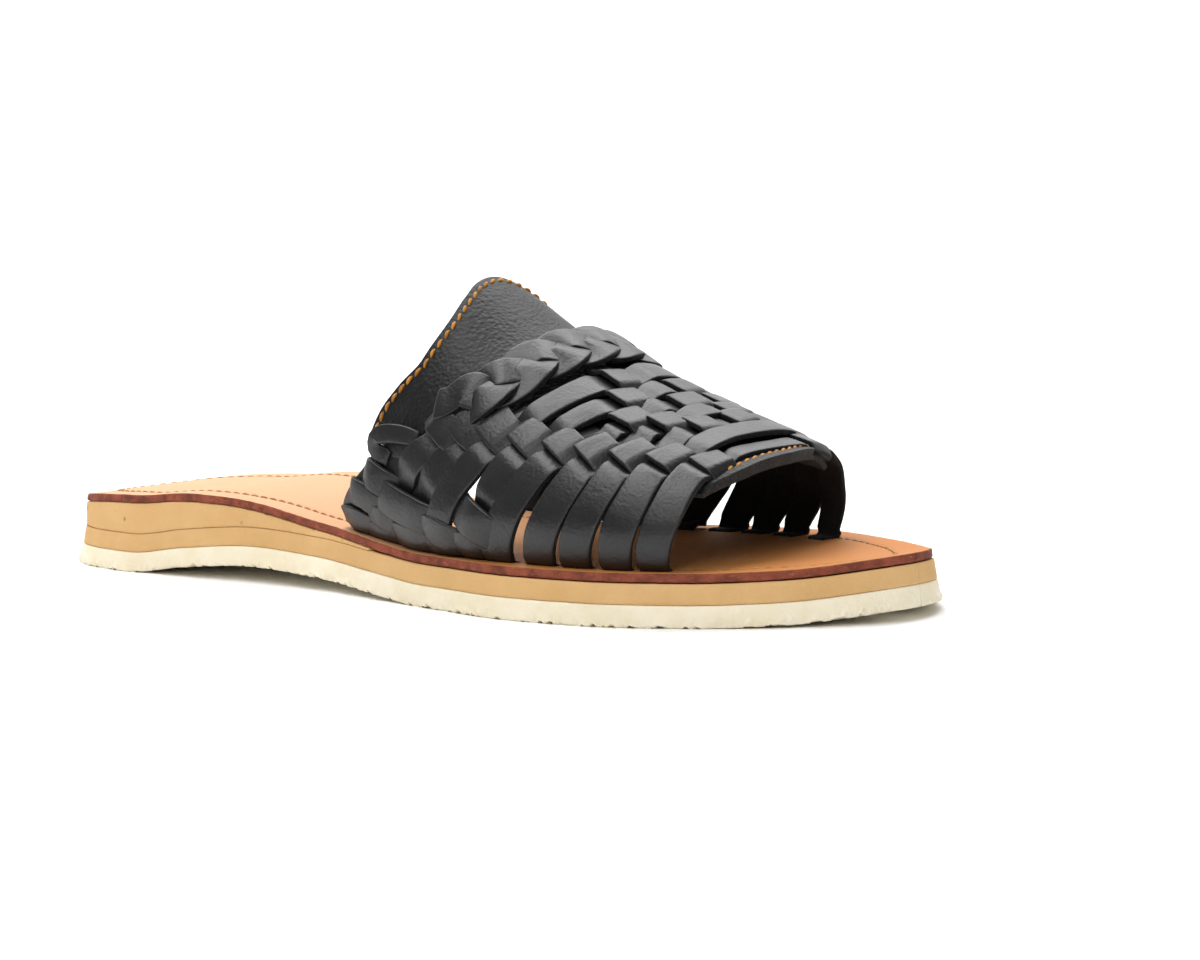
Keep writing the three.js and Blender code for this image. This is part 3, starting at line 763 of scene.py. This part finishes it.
def edge_ripple(rings, across, depth, size, seed):
    """Small waves of the side wall, outward and inward: grain of that size times the depth."""
    on_edge = (np.abs(across) > 0.99)[None, :]
    return np.sign(across)[None, :] * depth * grain(rings, size, seed) * on_edge


def edge_distance(x, y):
    """Distance from a point of the insole to its outline: the smallest distance to one of the 482
    corners of a polygon round it."""
    along = INSOLE_LENGTH * (1 - np.cos(np.linspace(0, np.pi, 241))) / 2
    ring = np.concatenate([np.stack([along, -half_width(along, -1)], -1),
                           np.stack([along, half_width(along, 1)], -1)])
    flat = np.stack([np.ravel(x), np.ravel(y)], -1)
    best = np.full(len(flat), 1e9)
    for start in range(0, len(ring), 40):
        block = ring[start:start + 40]
        gap = np.linalg.norm(flat[:, None] - block[None], axis=-1).min(1)
        best = np.minimum(best, gap)
    return best.reshape(np.shape(x))


def inset_line(inset, count=900):
    """A closed line on the insole at a distance inside its outline: each outline point moved along the
    outline's inward normal. Near the toe and heel it may cross over itself."""
    angle = np.linspace(0, 2 * np.pi, count, endpoint=False)
    x = INSOLE_LENGTH * (1 - np.cos(angle)) / 2
    y = np.where(angle < np.pi, -half_width(x, -1), half_width(x, 1))
    ring = np.stack([x, y], -1)
    tangent = np.roll(ring, -3, 0) - np.roll(ring, 3, 0)
    tangent /= np.linalg.norm(tangent, axis=1, keepdims=True)
    inward = np.stack([-tangent[:, 1], tangent[:, 0]], -1)
    return ring + inward * inset


def stitches(line, normals, pitch, length, radius, sink=0.15, lean=0.0):
    """Stitches along a line: at each pitch a capsule of eight sides and six rings, its radius following
    the square root of one less the square of the place along it, lying along the line and turned by
    lean in the surface. The ends sink into the surface."""
    run = distance_along(line)
    at = np.arange(pitch / 2, run[-1], pitch)

    def between(rows, places):
        return np.stack([np.interp(places, run, rows[:, i]) for i in range(3)], -1)

    centre, up = between(line, at), between(normals, at)
    up /= np.linalg.norm(up, axis=1, keepdims=True)
    along = between(line, at + 0.5) - between(line, at - 0.5)
    along /= np.linalg.norm(along, axis=1, keepdims=True)
    aside = np.cross(up, along)
    cosine, sine = math.cos(lean), math.sin(lean)
    along, aside = along * cosine + aside * sine, aside * cosine - along * sine
    place = np.sin(np.linspace(-1, 1, 7) * np.pi / 2)
    turn = np.linspace(0, 2 * np.pi, 8, endpoint=False)
    thick = radius * np.sqrt(np.maximum(1 - place ** 2, 0.02))
    ring = (centre[:, None, None] + along[:, None, None] * (place * length / 2)[None, :, None, None]
            + aside[:, None, None] * (thick[:, None] * np.cos(turn))[None, :, :, None]
            + up[:, None, None]
            * (thick[:, None] * np.sin(turn) - sink * place[:, None] ** 2)[None, :, :, None])
    return joined([loft(r) for r in ring])


class SANDAL_OT_sole(bpy.types.Operator):
    """Outsole, midsole and heel wedge: slabs under the insole, with a crumbled edge on the crepe"""
    bl_idname = "sandal.sole"
    bl_label = "Sole"

    def execute(self, context):
        s = context.scene.sandal_sole
        crepe, foam = crepe_rubber(s.crepe), cork_foam(s.foam)
        rings, across, up = sole_layer(lift, outsole_top, SOLE_FLARE, MIDSOLE_FLARE, stations=900, rows=11)
        crumb = s.crumb * 1000
        low = np.clip(1 - up / 0.42, 0, 1)[None, :] * (np.abs(across) > 0.9)[None, :]
        torn = grain(rings, 1.5, 3) + 0.6 * grain(rings, 0.8, 4)
        rings[..., 2] += crumb * low * np.maximum(torn, 0)
        rings[..., 1] += np.sign(across)[None, :] * crumb * 0.7 * low * torn
        rings[..., 1] += edge_ripple(rings, across, 0.10, 2.6, 5)
        add_piece("outsole_crepe", *loft(rings), [crepe], "outsole", ["outsole"])

        rings, across, _ = sole_layer(lambda x: outsole_top(x) + GAP * 0.3, midsole_top,
                                       MIDSOLE_FLARE - 0.1, INSOLE_FLARE * 2, stations=620, soften=0.25)
        rings[..., 1] += edge_ripple(rings, across, 0.09, 2.2, 6)
        add_piece("midsole_foam", *loft(rings), [foam], "midsole", ["midsole"])

        rings, across, _ = sole_layer(lambda x: midsole_top(x) + GAP * 0.3,
                                       lambda x: midsole_top(x) + through(HEEL_RISE, 1, x) + GAP * 0.5,
                                       INSOLE_FLARE * 2, INSOLE_FLARE, end=WEDGE_END + 8,
                                       stations=420, soften=0.25)
        rings[..., 1] += edge_ripple(rings, across, 0.09, 2.2, 7)
        add_piece("heel_wedge_foam", *loft(rings), [foam], "heel_wedge", ["heel_wedge"])
        return {"FINISHED"}


class SANDAL_OT_insole(bpy.types.Operator):
    """Insole: a leather slab with a rough stained rim, a grooved seam and the thread in it"""
    bl_idname = "sandal.insole"
    bl_label = "Insole"

    def execute(self, context):
        s = context.scene.sandal_sole
        top, rim = tanned_leather(s.tan, s.toned), stained_edge(s.rim)
        inset = s.groove_inset * 1000
        slab = sole_layer(insole_bottom, insole_top, INSOLE_FLARE, 0.0, soften=0.5)
        rings, tag, heights = refine_top(*slab, inset)
        points, faces = loft(rings)
        finish = side_faces(len(rings), tag, heights, len(faces))
        add_piece("insole_leather", points, faces, [top, rim], "insole", ["insole"], finish=finish)

        line = inset_line(inset)
        away = edge_distance(line[:, 0], line[:, 1])
        line = line[np.abs(away - inset) < 0.5]
        line = np.concatenate([line, line[:1]])
        spine = np.column_stack([line, insole_top(line[:, 0]) - 0.30])
        normals = np.tile([0.0, 0.0, 1.0], (len(spine), 1))
        thread = waxed_thread(s.seam, "brown_thread_waxed")
        seam = stitches(spine, normals, s.seam_pitch * 1000, 2.9, 0.42)
        add_piece("insole_seam", *seam, [thread], "insole")
        return {"FINISHED"}


def refine_top(rings, across, up, inset):
    """Rings again with their top resampled across, finer towards the edge as a sine is, so that it holds
    the groove. The top is lowered by the groove and by soft dents, and the side gets a fibrous ripple.
    Returns the rings, each column's tag (0 under, 1 side, 2 top) and its height."""
    shares = np.sin(np.linspace(0, 1, 37)[:-1] * np.pi / 2) ** 0.8 * 0.985
    wall_points = np.abs(across) > 0.999
    lateral = np.where(wall_points & (across < 0))[0]
    medial = np.where(wall_points & (across > 0))[0]
    low_l, high_l = rings[:, lateral[0]], rings[:, lateral[-1]]
    high_m, low_m = rings[:, medial[0]], rings[:, medial[-1]]
    centre_low, centre_high = (low_l + low_m) / 2, (high_l + high_m) / 2

    def fan(centre, edge, share):
        return centre[:, None] + (edge - centre)[:, None] * share[None, :, None]

    few = np.array([0.0, 0.5, 0.9])
    parts = [fan(centre_low, low_l, few), rings[:, lateral], fan(centre_high, high_l, shares[::-1]),
             fan(centre_high, high_m, shares), rings[:, medial], fan(centre_low, low_m, few[::-1])]
    new = np.concatenate(parts, 1)
    sizes = [p.shape[1] for p in parts]
    tag = np.repeat([0, 1, 2, 2, 1, 0], sizes)
    sign = np.repeat([-1, -1, -1, 1, 1, 1], sizes)
    heights = np.concatenate([np.zeros(sizes[0]), up[lateral], np.ones(sizes[2] + sizes[3]), up[medial],
                              np.zeros(sizes[5])])
    top = tag == 2
    spot = new[:, top]
    spot[..., 2] -= seam_groove(spot, inset, 0.42, 0.75)
    spot[..., 2] += 0.10 * grain(spot, 14.0, 11) - 0.10
    new[:, top] = spot
    side = tag == 1
    edge = new[:, side]
    edge[..., 1] += sign[side][None, :] * (0.24 * grain(edge, 1.2, 12) + 0.14 * grain(edge, 4.0, 13))
    new[:, side] = edge
    return new, tag, heights


def side_faces(rows, tag, heights, total):
    """Material numbers of a refined slab: 0 for the top, 1 for the stained side and the underside."""
    nxt = np.roll(tag, -1)
    ring = np.where((tag == 2) & (nxt == 2), 0, 1)
    high = (heights > 0.93) & (np.roll(heights, -1) > 0.93)
    ring = np.where(high & (ring == 1), 0, ring)
    finish = np.tile(ring, rows - 1)
    return np.concatenate([finish, np.ones(total - len(finish), int)])


# ------------------------------------------------------------------ upper


def panel_point(forward, across, distance):
    """A point of the vamp panel: forward goes from the tongue's edge to the lip's, across from hem to
    hem, the hem's side shrinking from the tongue to the toe in proportion to forward."""
    rear, toe = through(PANEL_EDGES, 1, across), through(PANEL_EDGES, 2, across)
    x = rear + (toe - rear) * forward
    side = across * (HEM_AT_TONGUE + (HEM_AT_TOE - HEM_AT_TONGUE) * forward)
    return wall(x, side, distance), x, side


class SANDAL_OT_panel(bpy.types.Operator):
    """Vamp panel: one leather sheet over the last, with a stitched tongue and a two-ply toe lip"""
    bl_idname = "sandal.panel"
    bl_label = "Vamp panel"

    def execute(self, context):
        s = context.scene.sandal_upper
        pebble = pebbled_leather(s.black)
        raw = raw_suede(s.panel_flesh, "black_leather_flesh_side")
        thread = waxed_thread(s.thread, "golden_thread_waxed")
        forward = np.concatenate([np.linspace(0, 0.04, 8), np.linspace(0.045, 0.95, 130),
                                  np.linspace(0.955, 1, 10)])
        f, a = np.meshgrid(forward, np.linspace(-1, 1, 181), indexing="ij")
        # The second ply thickens the lip outward and fades out towards both of its ends.
        reach = (1 - f) * PANEL_LENGTH
        ends = (1 - smooth((a - 0.5) / 0.35)) * smooth((a + 1) / 0.15)
        ply = PANEL_WALL + LIP_PLY * np.exp(-(reach / LIP_WIDTH) ** 4) * ends
        outer, x, side = panel_point(f, a, ply)
        outer += last_frame(x, side)[2] * (0.06 * grain(outer, 9.0, 21))[..., None]
        inner = panel_point(f, a, 0.05 + 0.1 * np.exp(-(reach / 6.5) ** 4))[0]
        points = np.concatenate([outer.reshape(-1, 3), inner.reshape(-1, 3)])
        n, m = f.shape
        sheet = grid_faces(n, m, wrap=False)
        back = sheet[:, ::-1] + n * m
        border = np.concatenate([np.arange(m), np.arange(1, n) * m + m - 1,
                                 np.arange(m - 2, -1, -1) + (n - 1) * m, np.arange(n - 2, 0, -1) * m])
        nxt = np.roll(border, -1)
        rim = np.stack([border, border + n * m, nxt + n * m, nxt], -1)
        points, faces = outward(points, np.concatenate([sheet, back, rim]))
        finish = np.concatenate([np.zeros(len(sheet), int), np.ones(len(back) + len(rim), int)])
        piece = add_piece("vamp_panel_leather", points, faces, [pebble, raw], "vamp_panel",
                          ["vamp_panel"], finish=finish)
        bevel = piece.modifiers.new("worn_rim", "BEVEL")
        bevel.width, bevel.segments = 0.0003, 2
        bevel.limit_method, bevel.angle_limit = "ANGLE", math.radians(50)

        # A row of stitches inside each edge: the edge, how far inside it, span across, height.
        rows = []
        for edge, inset, span, height in ((0.0, 2.0, (-0.99, 0.99), PANEL_WALL + 0.16),
                                          (1.0, -2.7, (-0.95, 0.90), PANEL_WALL + 1.31)):
            a = np.linspace(*span, 400)
            rear, toe = through(PANEL_EDGES, 1, a), through(PANEL_EDGES, 2, a)
            place, x, side = panel_point(edge + inset / (toe - rear), a, height)
            rows.append(stitches(place, last_frame(x, side)[2], s.stitch_pitch * 1000, STITCH_LENGTH,
                                 STITCH_RADIUS, STITCH_SINK, STITCH_LEAN))
        add_piece("panel_stitching", *joined(rows), [thread], "vamp_panel")
        return {"FINISHED"}


# A strap's section, as shares of the half width and of the thickness: sides and top, then the underside.
STRAP_TOP = np.array([
    (-1.0, -0.20), (-1.0, 0.20), (-0.985, 0.36), (-0.95, 0.45), (-0.88, 0.495), (-0.78, 0.5),
    (-0.4, 0.5), (0, 0.5), (0.4, 0.5), (0.78, 0.5), (0.88, 0.495), (0.95, 0.45), (0.985, 0.36),
    (1.0, 0.20), (1.0, -0.20),
])
STRAP_UNDER = np.array([(0.98, -0.44), (0.93, -0.5), (0, -0.5), (-0.93, -0.5), (-0.98, -0.44)])


def aside_steps(x, side):
    """For each place of a run, the change of x and of side that goes one millimetre to its left on the
    last, and the last's normal there. The unit vector along the run, crossed with the normal, points
    left, and its least-squares shares of the last's two derivatives are those changes."""
    along, across, normal = last_frame(x, side)
    tangent = along * np.gradient(x)[:, None] + across * np.gradient(side)[:, None]
    tangent /= np.linalg.norm(tangent, axis=1, keepdims=True)
    left = np.cross(normal, tangent)
    aa, ab, bb, la, lb = (np.einsum("ij,ij->i", u, v) for u, v in (
        (along, along), (along, across), (across, across), (along, left), (across, left)))
    det = aa * bb - ab * ab
    return (la * bb - lb * ab) / det, (lb * aa - la * ab) / det, normal


def ribbon(x, side, height, half, thick, crown=0.12, seed=0, covers=(), tilt=0.0):
    """A strap laid on the last. The middle line is a run of places (x, side), each with a height over
    the last and a half width. Across it lies the strap's section, with a crown that falls with the
    square of the place across and a tilt that grows with it. A place across is turned to a change of x
    and side, so that the strap hugs the last. It dives where another strap covers it. Returns the
    solid's points and faces, each point's rim value and each face's finish."""
    dx, ds, normal = aside_steps(x, side)
    section = np.concatenate([STRAP_TOP, STRAP_UNDER])
    share, level = section[:, 0][None, :], section[:, 1][None, :]
    px = x[:, None] + dx[:, None] * share * half[:, None]
    ps = side[:, None] + ds[:, None] * share * half[:, None]
    raised = level * thick - DIVE * under_share(px, ps, covers) + crown * (1 - share ** 2) + tilt * share
    rings = wall(px, ps, height[:, None] + raised)
    rings = rings + normal[:, None] * (0.10 * grain(rings, 5.0, seed))[..., None]
    points, faces = loft(rings)
    column = np.arange(len(section))
    rim = np.tile(np.where(column < len(STRAP_TOP), np.abs(section[:, 0]), 1.0), len(rings))
    finish = np.tile(((column < 2) | (column >= len(STRAP_TOP) - 3)).astype(int), len(rings) - 1)
    return points, faces, rim, np.concatenate([finish, np.ones(len(faces) - len(finish), int)])


def add_straps(name, ribbons, materials, replaced=()):
    """One piece of several straps, which hides the solids it replaces."""
    points, faces = joined([(p, f) for p, f, _, _ in ribbons])
    add_piece(name, points, faces, materials, "upper", replaced,
              finish=np.concatenate([finish for *_, finish in ribbons]),
              marks={"rim": np.concatenate([rim for _, _, rim, _ in ribbons])})


def even_run(columns, spacing):
    """Columns of a run, x and side first, resampled at about equal spacing: monotone cubics over the
    length travelled on the last."""
    table = np.asarray(columns, float)
    travelled = distance_along(wall(table[:, 0], table[:, 1], GAUGE_HEIGHT))
    at = np.linspace(0, travelled[-1], max(8, int(travelled[-1] / spacing) + 1))
    keyed = np.column_stack([travelled, table])
    return [through(keyed, i + 1, at) for i in range(table.shape[1])]


def under_share(x, side, covers):
    """1 where a place lies under a crossing strap and 0 clear of it: a smoothstep of the distance across
    from the crossing's edge, side counted as millimetres."""
    share = np.zeros_like(x)
    for x0, side0, slope, half, *_ in covers:
        across = ((side - side0) - (x - x0) * slope) * ACROSS / math.hypot(1, slope * ACROSS)
        share = np.maximum(share, 1 - smooth((np.abs(across) - half + COVER_LAP) / COVER_FADE))
    return share


def covering(x, side, crossings):
    """The crossings whose middle lies on a strap: its x there is about theirs."""
    order = np.argsort(side)
    return [c for c in crossings if side.min() < c[1] < side.max()
            and abs(np.interp(c[1], side[order], x[order]) - c[0]) < COVER_REACH]


def mirrored(rows, back=MEDIAL_BACK):
    """Rows of x, side and more on the medial side, a little further back as the medial edge is."""
    return [(x - back, -side, *rest) for x, side, *rest in rows]


def crossed(rows, back):
    """Crossings on the medial side, where they slope the other way."""
    return [(x, side, -slope, *rest) for x, side, slope, *rest in mirrored(rows, back)]


def long_strap(name, rows, thick, ride, swing, seed, covers):
    """A long strap: over the crossings by the swing, less a little where its legs are bare. The toe strap
    lies lower on the lip."""
    x, side, half = even_run(rows, STRAP_STEP)
    bare = smooth((np.abs(side) - 0.56) / 0.2) * (1 - smooth((np.abs(side) - 0.97) / 0.03))
    height = ride + swing - np.where(side > 0, 1.3, 0.4) * bare
    if name == "toe_strap":
        height -= 1.5 * (1 - smooth((np.abs(side) - 0.24) / 0.14))
    return ribbon(x, side, height, half, thick, seed=seed, covers=covering(x, side, covers))


def short_crossing(row, thick, ride, swing, low, seed):
    """The visible length of a crossing strap, straight on the unrolled last. It is highest in its middle,
    bends down at both ends to go under its neighbours, and tilts with the side of the last."""
    x0, side0, slope, half, length = row
    t = np.linspace(-1, 1, 19) * (length + 0.8)
    x = x0 + t / math.hypot(1.0, slope * ACROSS)
    bend = smooth((np.abs(t) - 2.8) / 3.6)
    height = ride + swing * (1.15 - 2.1 * bend) - low
    return ribbon(x, side0 + (x - x0) * slope, height, np.full_like(x, half), thick, crown=0.08,
                  seed=seed, tilt=0.30 * np.sign(side0))


class SANDAL_OT_straps(bpy.types.Operator):
    """Woven straps: long straps from sole to sole, short crossings over them, the plaited rear corners"""
    bl_idname = "sandal.straps"
    bl_label = "Woven straps"

    def execute(self, context):
        s = context.scene.sandal_upper
        thick, ride, swing = s.thickness * 1000, s.ride * 1000, s.swing * 1000
        cells = CROSSINGS + crossed(CROSSINGS[:SIDE_CROSSINGS], CROSSING_BACK)
        covers = cells + TUCKS + crossed(TUCKS, MEDIAL_BACK)
        ribbons = []
        for index, (name, rows) in enumerate(STRAP_RUNS.items()):
            runs = [[(x, side, half) for side, x, half in rows]]
            if rows[-1][0] < 0:
                runs.append(mirrored(runs[0]))
            ribbons += [long_strap(name, run, thick, ride, swing, 31 + index, covers) for run in runs]
        for index, row in enumerate(cells):
            # The foremost crossing on each side lies lower, beside the lip.
            low = 0.6 if index in (0, len(CROSSINGS)) else 0
            ribbons.append(short_crossing(row, thick, ride, swing, low, 71 + index))
        for index, rows in enumerate(RETURNS.values()):
            for run in (rows, mirrored(rows)):
                ribbons.append(ribbon(*even_run(run, STRAP_STEP), thick, crown=0.2, seed=101 + index))
        wax, raw = waxed_leather(s.black), raw_suede(s.strap_flesh, "black_strap_flesh_side")
        add_straps("woven_straps", ribbons, [wax, raw], ["upper"])
        return {"FINISHED"}


class SANDAL_OT_plait(bpy.types.Operator):
    """Plait: three strands that swing from side to side over the instep and lie over each other in turn"""
    bl_idname = "sandal.plait"
    bl_label = "Instep plait"

    def execute(self, context):
        s = context.scene.sandal_upper
        x, side = even_run(PLAIT_LINE, PLAIT_STEP)
        run = distance_along(wall(x, side, GAUGE_HEIGHT))
        dx, ds, _ = aside_steps(x, side)

        def between_ends(inset, length):
            """0 up to an inset from both ends, then a smoothstep of that length up to 1."""
            return smooth((run - inset) / length) * smooth((run[-1] - run - inset) / length)

        # Each strand swings like a sine and lies highest on its way inward; two of them start later.
        early, late, wide = between_ends(0, 3), between_ends(10, 4), between_ends(5, 8)
        turns = (run - np.interp(PLAIT_START, side, run)) / PLAIT_TURN + PLAIT_PHASE
        ribbons = []
        for strand in range(3):
            phase = 2 * np.pi * (turns + strand / 3)
            swing = PLAIT_SWING * np.sin(phase) * wide
            under = 1 - (early if strand == 1 else late)
            height = PLAIT_HEIGHT - np.sin(2 * phase) * wide - PLAIT_DROP * under
            half = PLAIT_HALF - 0.5 * (1 - wide)
            ribbons.append(ribbon(x + dx * swing, side + ds * swing, height, half, s.thickness * 1000,
                                  seed=121 + strand))
        finishes = ("black_strap_leather_waxed", "black_strap_flesh_side")
        add_straps("instep_plait", ribbons, [bpy.data.materials[name] for name in finishes])
        return {"FINISHED"}


# ------------------------------------------------------------------ stage


def stand(name, data, right, up, back, place):
    """An object from its three axes and its place, put in the scene."""
    thing = bpy.data.objects.new(name, data)
    rows = zip(np.column_stack([right, up, back]), place)
    thing.matrix_world = Matrix([[*row, p] for row, p in rows] + [[0, 0, 0, 1]])
    bpy.context.scene.collection.objects.link(thing)
    return thing


def add_light(name, place, target, size, power):
    """A rectangular softbox that faces a point."""
    light = bpy.data.lights.new(name, "AREA")
    light.shape, light.size, light.size_y, light.energy = "RECTANGLE", *size, power
    back = np.array(place, float) - np.array(target, float)
    back /= np.linalg.norm(back)
    right = np.cross([0, 0, 1.0], back)
    right /= np.linalg.norm(right)
    stand(name, light, right, np.cross(back, right), back, place)


def paper_sweep(away):
    """A grid of points: a level floor, a quarter circle up and an upright wall, carried sideways. away is
    the level direction from the camera to the wall."""
    turn = np.linspace(0, np.pi / 2, 24)
    end = SWEEP_START + SWEEP_RADIUS
    out = np.concatenate([FLOOR_RUN, SWEEP_START + SWEEP_RADIUS * np.sin(turn), [end]])
    high = np.concatenate([np.zeros(len(FLOOR_RUN)), SWEEP_RADIUS * (1 - np.cos(turn)), [WALL_TOP]])
    wide = np.linspace(-SWEEP_HALF, SWEEP_HALF, 9)
    return np.stack([away[0] * out[:, None] - away[1] * wide, away[1] * out[:, None] + away[0] * wide,
                     high[:, None] + 0 * wide], -1)


def matt_paper(code):
    """Matt paper from a roll: white, with hardly any tooth and no gloss to speak of."""
    m, out, where = new_material("white_paper_matt")
    tooth = add_node(m, "ShaderNodeTexNoise", {"Scale": 40.0, "Detail": 3.0}, {"Vector": where})
    base = linear(code)
    tone = ramp(m, tooth.outputs["Fac"], [(0.3, tinted(base, 0.985, 0.985, 0.985)), (0.7, base)])
    return finish_shader(m, out, tone, {"Roughness": 0.9, "Specular IOR Level": 0.15})


class SANDAL_OT_stage(bpy.types.Operator):
    """Stage: a pale paper sweep, soft lights and the camera"""
    bl_idname = "sandal.stage"
    bl_label = "Stage"

    def execute(self, context):
        s = context.scene.sandal_stage
        yaw, pitch, roll = np.radians(CAMERA_TURN)
        away = np.array([-math.sin(yaw), math.cos(yaw)])
        look = np.array([*(away * math.cos(pitch)), -math.sin(pitch)])
        level = np.array([math.cos(yaw), math.sin(yaw), 0.0])
        rise = np.cross(level, look)
        right = math.cos(roll) * level + math.sin(roll) * rise
        up = math.cos(roll) * rise - math.sin(roll) * level
        camera = bpy.data.cameras.new("camera")
        camera.sensor_width, camera.lens = SENSOR, LENS
        camera.clip_start, camera.clip_end = 0.05, 30.0
        context.scene.camera = stand("camera", camera, right, up, -look, CAMERA_PLACE)
        context.scene.view_settings.view_transform = "Standard"

        grid = paper_sweep(away)
        mesh = bpy.data.meshes.new("floor")
        faces = grid_faces(*grid.shape[:2], wrap=False)[:, ::-1]
        mesh.from_pydata(grid.reshape(-1, 3).tolist(), [], faces.tolist())
        mesh.shade_smooth()
        mesh.materials.append(matt_paper(s.floor))
        floor = bpy.data.objects.new("floor", mesh)
        context.scene.collection.objects.link(floor)

        world = bpy.data.worlds.new("sky")
        world.use_nodes = True
        background = world.node_tree.nodes["Background"].inputs
        background["Color"].default_value = (1, 1, 1, 1)
        background["Strength"].default_value = s.sky
        context.scene.world = world
        for name, settings in SOFTBOXES.items():
            add_light(name, *settings)
        # Two long softboxes light the wall of the sweep from above, left and right of the shoe.
        for share in (-0.9, 0.9):
            spot = (away[0] - away[1] * share, away[1] + away[0] * share, 1.9)
            add_light("backdrop_light", spot, (*(away * 2.4), 0.7), (1.6, 0.5), 26)
        return {"FINISHED"}


class SANDAL_PT_panel(bpy.types.Panel):
    """Sandal"""
    bl_label = "Sandal"
    bl_idname = "SANDAL_PT_panel"
    bl_space_type = "VIEW_3D"
    bl_region_type = "UI"
    bl_category = "Sandal"

    def draw(self, context):
        for operator in OPERATORS:
            self.layout.operator(operator.bl_idname)
        for name in SETTINGS:
            group = getattr(context.scene, name)
            for key in group.bl_rna.properties.keys():
                if key not in ("rna_type", "name"):
                    self.layout.prop(group, key)


OPERATORS = (SANDAL_OT_stage, SANDAL_OT_sole, SANDAL_OT_insole, SANDAL_OT_panel, SANDAL_OT_straps,
             SANDAL_OT_plait)
SETTINGS = {"sandal_stage": StageSettings, "sandal_sole": SoleSettings, "sandal_upper": UpperSettings}
CLASSES = (*SETTINGS.values(), *OPERATORS, SANDAL_PT_panel)


def register():
    for item in CLASSES:
        bpy.utils.register_class(item)
    for name, group in SETTINGS.items():
        setattr(bpy.types.Scene, name, bpy.props.PointerProperty(type=group))


def unregister():
    for name in SETTINGS:
        delattr(bpy.types.Scene, name)
    for item in reversed(CLASSES):
        bpy.utils.unregister_class(item)


def main():
    register()
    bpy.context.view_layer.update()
    for call in (bpy.ops.sandal.stage, bpy.ops.sandal.sole, bpy.ops.sandal.insole, bpy.ops.sandal.panel,
                 bpy.ops.sandal.straps, bpy.ops.sandal.plait):
        call()


if __name__ == "__main__":
    main()
